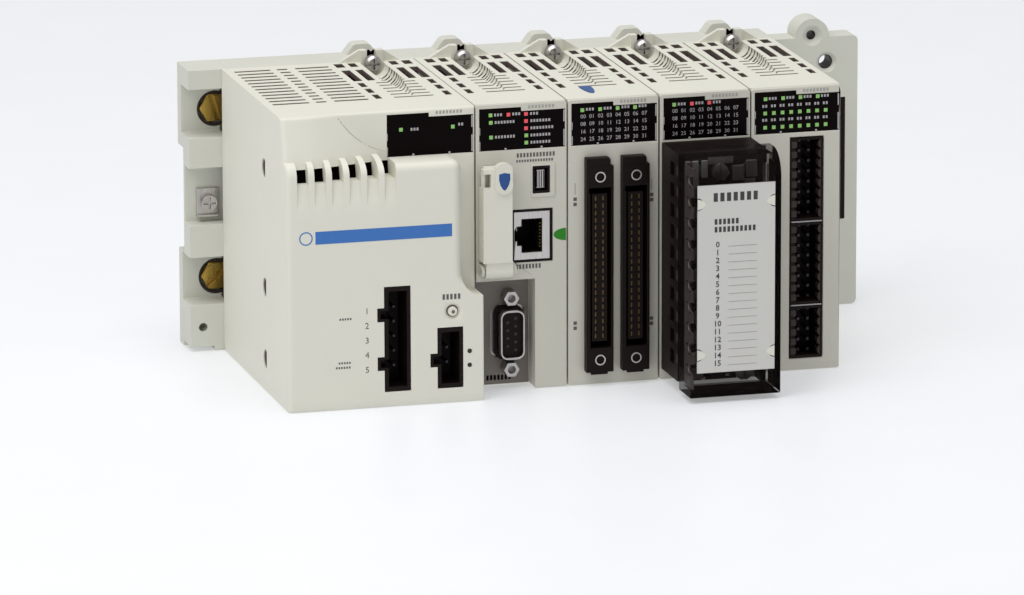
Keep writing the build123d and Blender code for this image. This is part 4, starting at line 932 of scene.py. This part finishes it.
def line_openings(piece, housing, low, high):
    """Painted shade: thin dark sheets on the walls of the openings in a housing's top."""
    shell = bmesh.new()
    shell.from_mesh(housing.data)
    shell.transform(housing.matrix_world)
    bmesh.ops.remove_doubles(shell, verts=shell.verts, dist=WELD_DISTANCE)
    shell.normal_update()
    tree = BVHTree.FromBMesh(shell)
    for edge in shell.edges:
        heights = [v.co.z / MM - HEIGHT for v in edge.verts]
        near_top = min(heights) >= -SHADED_DROP and max(heights) <= SHADED_RISE
        if len(edge.link_faces) != 2 or not near_top:
            continue
        wall, top = sorted(edge.link_faces, key=lambda face: face.normal.z)
        middle = (edge.verts[0].co + edge.verts[1].co) / 2
        inside = low.x + SIDE_MARGIN * MM < middle.x < high.x - SIDE_MARGIN * MM
        inside = inside and middle.y > low.y + FRONT_MARGIN * MM
        if abs(wall.normal.z) > 0.05 or top.normal.z < 0.5 or not inside:
            continue
        if max(abs(height) for height in heights) > LEVEL:
            start = middle + wall.normal * 0.05 * MM - Vector((0, 0, 0.5 * MM))
            if tree.ray_cast(start, wall.normal, SLOT_REACH * MM)[0] is None:
                continue
        away = Vector((wall.normal.x, -wall.normal.y)).normalized()
        ring = []
        for vert, out in zip((*edge.verts, *reversed(edge.verts)), (0.02, 0.02, 0.12, 0.12)):
            x, depth = vert.co.x / MM, (REAR - vert.co.y) / MM
            ring.append((x + away.x * out, depth + away.y * out, vert.co.z / MM))
        piece.loft([[(x, depth, z - drop) for x, depth, z in ring] for drop in (WALL_SHADE_FOOT, WALL_SHADE_TOP)])
    shell.free()


def make_top_details():
    """Painted shade under the cooling openings, on their walls, and in the notch behind each module's screw.
    """
    # Painted shade: a black sheet under the cooling openings, so that they read dark.
    opening_shade = Piece(0.0)
    for name in SLOT_LEFTS:
        low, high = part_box(f"{name}_housing")
        screw_x = high.x / MM - MODULE_WIDTH / MM + SCREW_FROM_LEFT
        for left, right in ((low.x / MM + SHADE_SIDE, screw_x - COMB_HALF),
                            (screw_x + COMB_HALF, high.x / MM - SHADE_SIDE)):
            opening_shade.slab(left, right, *SHADE_SECTION)
    opening_shade.done("opening_shade_sheet", BLACK)

    # Painted shade: brown-grey sheets on the walls of the cooling openings.
    lining = Piece(0.0)
    for name in SLOT_LEFTS:
        line_openings(lining, nodes[f"{name}_housing"], *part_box(f"{name}_housing"))
    lining.done("opening_wall_shade", SHADE_BROWN)

    # Painted shade: a near-black block in the notch behind each module's screw.
    notch_shade = Piece(0.0)
    for left in SLOT_LEFTS.values():
        x = left / MM + SCREW_FROM_LEFT
        notch_shade.prism([(x - 1.5, 100.3), (x + 1.5, 100.3), (x + 1.5, 103.9), (x + 0.5, 103.2),
                       (x - 0.2, 104.0), (x - 1.5, 103.4)], 16.7, 17.6)
    notch_shade.done("screw_notch_shade", PAINTED_SHADE_BLACK)


# Rack

EAR_HOLE = (228.1, 98.2)
PANEL_HOLE_X = 233.4
PANEL_HOLE_HEIGHTS = (8.4, 88.4)
POCKETS = ((14.5, 33.3, 4.6), (43.0, 65.1, 8.9), (74.0, 93.0, 4.6))
CLAMP_SCREW_X = 0.2
CLAMP_SCREW_HEIGHTS = (23.8, 83.7)


def make_rack_details():
    """Painted shade in the holes at the right, pocket walls at the left and painted shade round its clamp
    screws, and painted shade between the modules.
    """
    # Painted shade: dark grey sleeves inside the mounting holes at the right, so that they read dark.
    shade_sheets = Piece(RACK_LEFT)
    shade_sheets.frame(circle(*EAR_HOLE, 1.68), circle(*EAR_HOLE, 1.4), 0.5, 8.0)
    for z in PANEL_HOLE_HEIGHTS:
        shade_sheets.frame(circle(PANEL_HOLE_X, z, 2.58), circle(PANEL_HOLE_X, z, 2.3), 0.5, 8.4)
    shade_sheets.done("hole_shade", DARK_GREY_AND_SHADE)

    board_left = (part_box("bus_board")[0].x - SUPPLY_LEFT) / MM
    walls = Piece(SUPPLY_LEFT)
    for bottom, top, back in POCKETS:
        walls.slab(board_left - 0.9, board_left - 0.3, back, 17.2, bottom, top)
    walls.done("pocket_walls", IVORY_RACK)

    # Painted shade: black sheets deep in the gaps between the modules.
    gap_shade = Piece(0.0)
    names = list(SLOT_LEFTS)
    for name, neighbour in zip(names, names[1:]):
        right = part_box(f"{name}_housing")[1].x / MM
        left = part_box(f"{neighbour}_housing")[0].x / MM
        middle = (left + right) / 2
        half = (left - right) * 0.3
        gap_shade.slab(middle - half, middle + half, 20.0, FRONT - 1.6, 3.0, HEIGHT - 0.9)
    gap_shade.done("module_gap_shade", BLACK)

    # Painted shade: a dark grey ring round each clamp screw for the shaded wall of its counterbore.
    counterbore_shade = Piece(SUPPLY_LEFT)
    for z in CLAMP_SCREW_HEIGHTS:
        counterbore_shade.frame(circle(CLAMP_SCREW_X, z, 6.36, 40), circle(CLAMP_SCREW_X, z, 5.45, 40), 3.2, 4.3)
    counterbore_shade.done("clamp_counterbore_shade", DARK_GREY_AND_SHADE, edge=0.15)


# Processor

PORT_FLOOR = FRONT - 8.0
FIELDBUS_MIDDLE = (13.2, 18.8)
SOCKET_BACK = 84.1
NETWORK_CONTACTS = 8
NETWORK_CONTACT_FIRST = 49.6
NETWORK_CONTACT_PITCH = 1.16


def fieldbus_outline(left, right, half_height, radius):
    """Rounded outline round the middle of the fieldbus plug."""
    x, z = FIELDBUS_MIDDLE
    return rounded(x - left, x + right, z - half_height, z + half_height, radius)


def make_processor_details():
    """Surrounds, linings and contacts of the ports, pad on the card door, and small printed marks."""
    surround = Piece(PROCESSOR_LEFT)
    surround.frame(rounded(19.3, 27.9, 67.0, 78.5, 0.4, 3), rounded(19.9, 26.1, 68.3, 77.9, 0.3, 3),
                   FRONT - 0.2, FRONT + 0.35)
    surround.done("usb_surround", IVORY_FRONT_SHADED, edge=0.2)

    gaskets = Piece(PROCESSOR_LEFT)
    gaskets.frame(rectangle(20.0, 26.0, 68.4, 77.8), rectangle(20.75, 25.25, 69.2, 77.0),
                  FRONT - 3.0, FRONT + 0.1)
    gaskets.frame(rectangle(12.3, 27.0, 44.5, 63.0), rectangle(13.15, 26.05, 45.35, 62.15),
                  FRONT - 0.1, FRONT + 0.2)
    gaskets.done("port_gaskets", BLACK, edge=0.1)

    cavity = [(16.0, 47.9), (23.2, 47.9), (23.2, 59.6), (16.0, 59.6), (16.0, 57.1), (14.4, 57.1),
              (14.4, 55.5), (13.6, 55.5), (13.6, 52.0), (14.4, 52.0), (14.4, 50.4), (16.0, 50.4)]
    lining = Piece(PROCESSOR_LEFT)
    lining.frame(inset(cavity, 0.02), inset(cavity, 0.2), SOCKET_BACK, FRONT + 0.25)
    lining.prism(inset(cavity, 0.05), SOCKET_BACK - 0.05, SOCKET_BACK + 0.2)
    lining.done("network_lining", BLACK)

    contacts = Piece(PROCESSOR_LEFT)
    for i in range(NETWORK_CONTACTS):
        z = NETWORK_CONTACT_FIRST + NETWORK_CONTACT_PITCH * i
        contacts.slab(22.4, 22.95, 90.0, FRONT - 0.6, z - 0.22, z + 0.22)
    contacts.done("network_contacts", GOLD)

    strips = Piece(PROCESSOR_LEFT)
    for x in (21.75, 22.55, 23.35, 24.15):
        strips.slab(x - 0.2, x + 0.2, FRONT - 2.0, FRONT - 0.93, 70.2, 76.0)
    strips.done("usb_contacts", SHADED_TIN, edge=0.1)

    insert = Piece(PROCESSOR_LEFT)
    insert.prism(fieldbus_outline(3.65, 3.65, 7.95, 2.0), PORT_FLOOR + 1.4, PORT_FLOOR + 5.2)
    insert.frame(fieldbus_outline(5.3, 5.1, 9.4, 3.2), fieldbus_outline(4.25, 4.25, 8.55, 2.6),
                 PORT_FLOOR + 0.3, PORT_FLOOR + 2.6)
    insert.done("fieldbus_insert", BLACK, edge=0.15)

    # Painted shade: a dark grey sheet on the floor of the deep fieldbus recess.
    floor_shade = Piece(PROCESSOR_LEFT)
    floor_shade.frame(rounded(0.3, 20.6, 0.3, 38.3, 0.4), fieldbus_outline(6.2, 6.2, 9.4, 3.2),
                PORT_FLOOR - 0.1, PORT_FLOOR + 0.04)
    floor_shade.done("fieldbus_floor_shade", RECESS_SHADE)

    lip = Piece(PROCESSOR_LEFT)
    lip.frame(fieldbus_outline(4.35, 4.35, 8.65, 2.7), fieldbus_outline(3.6, 3.6, 7.9, 2.0),
              PORT_FLOOR + 6.2, PORT_FLOOR + 7.15)
    lip.done("fieldbus_lip", ZINC, edge=0.3)

    leaf = Piece(PROCESSOR_LEFT)
    leaf.prism(bulge(31.75, 53.5, -4.4, -2.15, 12), FRONT - 0.1, FRONT + 0.05)
    leaf.done("processor_leaf", LEAF_GREEN)

    pad = Piece(PROCESSOR_LEFT)
    outline = [(6.05, 77.5), (6.0, 75.6), (6.5, 73.6), (7.3, 72.2), (8.05, 71.6), (8.8, 72.2), (9.6, 73.6),
               (10.1, 75.6), (10.05, 77.5), (8.05, 77.9)]
    pad.prism(outline, 106.6, 106.98)
    pad.done("card_door_pad", BLUE_PLASTIC, body="card_door", edge=0.25)

    marks = Piece(PROCESSOR_LEFT)
    for place in ((14.4, 81.9, 12, FRONT, 1.5, 1.15), (14.2, 79.9, 14, FRONT, 0.9, 0.95),
                  (14.0, 43.0, 8, FRONT, 1.6, 1.15), (5.6, 2.6, 7, PORT_FLOOR, 1.8, 1.3)):
        word(marks, *place)
    marks.done("processor_marks", DARK_PRINT)


# Digital module

PRINT_DEPTHS = (FRONT - 0.1, FRONT + 0.04)
CONNECTOR_LEFTS = (5.6, 18.4)
INSERT_PLACES = [(x, z) for x in (10.4, 23.2) for z in (9.2, 73.4)]


def make_digital_details():
    """Blue mark on top, bores of the inserts, ribs on the connectors, and small printed marks."""
    leaf = Piece(DIGITAL_LEFT)
    leaf.flat([(11.3 + 2.1 * cos(radians(a)), 79.6 + 10.4 * sin(radians(a))) for a in range(0, 181, 10)],
              HEIGHT - 0.1, HEIGHT + 0.4)
    leaf.done("digital_leaf", BLUE_PLASTIC, edge=0.25)

    bores = Piece(DIGITAL_LEFT)
    for place in INSERT_PLACES:
        bores.prism(circle(*place, 1.43, 20), CONNECTOR_FACE - 3.0, CONNECTOR_FACE - 0.5)
    bores.done("insert_bores", BLACK)

    keys = Piece(DIGITAL_LEFT)
    for x in CONNECTOR_LEFTS:
        keys.slab(x + 0.2, x + 1.3, CONNECTOR_FACE - 0.1, CONNECTOR_FACE + 0.35, 12.6, 68.0)
        keys.slab(x + 0.4, x + 8.0, CONNECTOR_FACE - 0.1, CONNECTOR_FACE + 0.3, 77.4, 79.8)
        keys.slab(x + 1.6, x + 7.6, CONNECTOR_FACE - 1.0, CONNECTOR_FACE - 0.2, 4.0, 4.9)
    keys.done("digital_keys", BLACK, edge=0.2)

    marks = Piece(DIGITAL_LEFT)
    for x in (2.4, 29.6):
        for z in (63.6, 65.4, 20.1, 21.9):
            marks.slab(x - 0.6, x + 0.6, *PRINT_DEPTHS, z - 0.6, z + 0.6)
        marks.slab(x - 0.08, x + 0.08, *PRINT_DEPTHS, 67.0, 71.0)
    marks.done("digital_front_marks", DARK_PRINT)


# Terminal block

BLOCK_FACE = 119.5
WIRE_ROWS = 10
WIRE_PITCH = 7.28
WIRE_FIRST = 10.4
GUIDE_BACK = 122.3
GUIDE_FRONT = 132.6
GUIDE_BOTTOM = 4.2
GUIDE_TOP = 81.0
COVER_BACK = 124.5
COVER_FOOT = 2.2
COVER_LIP = 134.8
COVER_ROUND = 8.5
COVER_SHOULDER = 77.2
# Places of the black sheets of painted shade inside the terminal cover.
COVER_SHADE_SHEETS = ((2.0, 30.6, 122.4, 130.0, 84.25, 84.45), (2.0, 30.3, 125.2, 133.4, 3.45, 3.65),
                (30.4, 30.75, 126.8, 133.2, 3.9, 82.0), (0.6, 32.0, 122.0, 134.9, 1.75, 1.89))
BLOCK_RIBS = ((11.0, 20.0, 79.4, 82.6, 0.4), (19.6, 23.8, 73.4, 78.6, 0.8), (24.4, 28.2, 74.4, 80.2, 1.2),
              (24.0, 27.8, 69.5, 73.8, 0.5), (10.0, 22.8, 8.6, 12.0, 0.3), (4.4, 9.6, 4.6, 8.4, 0.5))
LABEL_ROWS = 16
LABEL_FIRST = 54.9
LABEL_PITCH = 2.76
DASHES = 14
DASH_LEFT = 13.9
DASH_PITCH = 0.72


def make_terminal_details():
    """Teeth, ribs and marks of the block, and the tabs (light ivory that also paints a highlight), label,
    painted shade and wire guide of its cover.
    """
    block_left = (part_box("terminal_block")[0].x - INPUT_LEFT) / MM
    teeth = Piece(INPUT_LEFT)
    for row in range(WIRE_ROWS):
        z = WIRE_FIRST + 1.6 + WIRE_PITCH * row
        teeth.slab(block_left - 0.15, block_left + 0.4, 117.6, 119.4, z - 1.6, z + 1.6)
    teeth.done("terminal_teeth", DARK_GREY_AND_SHADE, body="terminal_block", edge=0.2)

    # Partly painted highlight: the tabs are real, and their light ivory stands in for the highlight on clear
    # tabs.
    tabs = Piece(INPUT_LEFT)
    for z in (69.2, 16.7):
        for x, reach in ((2.75, 2.9), (30.15, -2.9)):
            arc = [(x + reach * sin(radians(a)) ** 1.8, z + 1.9 * cos(radians(a))) for a in range(0, 181, 15)]
            tabs.prism(arc, COVER_FRONT - 0.3, COVER_FRONT - 0.01)
    tabs.done("cover_tabs", IVORY, body="terminal_cover")

    marks = Piece(INPUT_LEFT)
    word(marks, 8.4, 71.4, 7, LABEL_FACE, 3.0, 2.35)
    word(marks, 8.8, 62.9, 6, LABEL_FACE, 1.9, 1.5)
    word(marks, 8.8, 60.2, 10, LABEL_FACE, 1.9, 1.5)
    for number in range(LABEL_ROWS):
        z = LABEL_FIRST - LABEL_PITCH * number
        marks.number(str(number), 9.9, LABEL_FACE + 0.02, z, 2.75, 0.045)
        for dash in range(DASHES):
            x = DASH_LEFT + DASH_PITCH * dash
            marks.slab(x, x + 0.4, LABEL_FACE - 0.05, LABEL_FACE + 0.03, z - 0.8, z - 0.62)
    marks.done("label_marks", LABEL_PRINT, body="terminal_cover")

    # Painted shade: black sheets inside the smoked cover and along its right side, so that it reads dark.
    shade_sheets = Piece(INPUT_LEFT)
    for place in COVER_SHADE_SHEETS:
        shade_sheets.slab(*place)
    side = [(COVER_BACK, COVER_FOOT), (COVER_LIP, COVER_FOOT)]
    side += circle(COVER_LIP - COVER_ROUND, COVER_SHOULDER, COVER_ROUND, 10, 0, 90)
    side.append((COVER_BACK, COVER_SHOULDER + COVER_ROUND))
    shade_sheets.across(side, 32.31, 32.45)
    shade_sheets.done("cover_shade", PAINTED_SHADE_BLACK, body="terminal_cover")

    plates = Piece(INPUT_LEFT)
    for left, right, bottom, top, stand in BLOCK_RIBS:
        plates.slab(left, right, BLOCK_FACE - 0.2, BLOCK_FACE + stand, bottom, top)
    plates.done("terminal_ribs", RIB_GREY, body="terminal_block", edge=0.2)

    strip = Piece(INPUT_LEFT)
    strip.slab(2.9, 4.6, BLOCK_FACE - 0.2, BLOCK_FACE + 2.6, GUIDE_BOTTOM, GUIDE_TOP)
    strip.done("terminal_rail", RIB_GREY, body="terminal_block", edge=0.2)

    comb = [(GUIDE_BACK, GUIDE_TOP), (GUIDE_BACK, GUIDE_BOTTOM), (GUIDE_FRONT, GUIDE_BOTTOM)]
    for row in range(WIRE_ROWS):
        comb += bulge(GUIDE_FRONT, WIRE_FIRST + 0.5 + WIRE_PITCH * row, -5.4, -1.9, 15)
    guide = Piece(INPUT_LEFT)
    guide.across(comb + [(GUIDE_FRONT, GUIDE_TOP)], 1.95, 2.35)
    guide.done("wire_guide", RIB_GREY, body="terminal_cover")

    bars = Piece(INPUT_LEFT)
    for left, bottom in ((5.4, 71.5), (8.6, 75.0)):
        bars.slab(left, left + 2.1, BLOCK_FACE - 0.2, BLOCK_FACE + 0.9, bottom, 80.9)
    bars.slab(26.4, 29.6, BLOCK_FACE - 0.2, BLOCK_FACE + 0.4, 8.0, 8.9)
    for x, z in ((9.6, 4.6), (18.2, 5.4)):
        bars.slab(x - 0.7, x + 0.7, BLOCK_FACE - 0.2, BLOCK_FACE + 0.3, z - 0.45, z + 0.45)
    bars.done("terminal_markers", PALE_GREY, body="terminal_block", edge=0.15)

    corner = Piece(INPUT_LEFT)
    corner.prism([(21.4, 4.1), (28.0, 4.1), (28.0, 5.4), (26.4, 8.2), (26.4, 9.6), (21.4, 9.6)],
                 BLOCK_FACE - 0.2, BLOCK_FACE + 0.15)
    corner.done("terminal_corner", IVORY_FRONT_SHADED, body="terminal_block")


# Counter module

COUNTER_SOCKETS = ((4.4, 22.6, 5), (23.4, 52.1, 8), (52.9, 82.1, 8))
DIVIDER_HEIGHTS = (23.0, 52.5)


def make_counter_details():
    """Teeth, scallops and dividers of the three sockets."""
    teeth = Piece(COUNTER_LEFT)
    scallops = Piece(COUNTER_LEFT)
    for low, high, rows in COUNTER_SOCKETS:
        pitch = (high - low - 1.4) / rows
        for row in range(rows):
            z = low + 0.7 + pitch * (row + 0.5)
            teeth.slab(14.3, 16.3, FRONT - 2.0, FRONT + 0.3, z - 1.15, z + 1.15)
            scallops.prism(bulge(24.9, z, -1.0, 1.5, 20), FRONT - 3.0, FRONT + 0.25)
    teeth.done("counter_teeth", DARK_GREY_AND_SHADE, edge=0.2)
    scallops.done("counter_scallops", DARK_GREY_AND_SHADE, edge=0.1)

    bars = Piece(COUNTER_LEFT)
    for z in DIVIDER_HEIGHTS:
        bars.slab(14.4, 25.4, FRONT - 1.0, FRONT + 0.3, z - 0.22, z + 0.22)
    bars.done("counter_dividers", PRINT, edge=0.08)


make_camera()
make_stage()
paint_nodes()
for width, names in EDGE_WIDTHS.items():
    for name in names:
        round_edges(nodes[name], width)
make_supply_front()
make_supply_details()
make_top_details()
make_rack_details()
for name, left in SLOT_LEFTS.items():
    make_window_marks(left, f"{name}_window", WINDOW_WORDS[name], numbers=name in ("digital", "input"))
make_processor_details()
make_digital_details()
make_terminal_details()
make_counter_details()
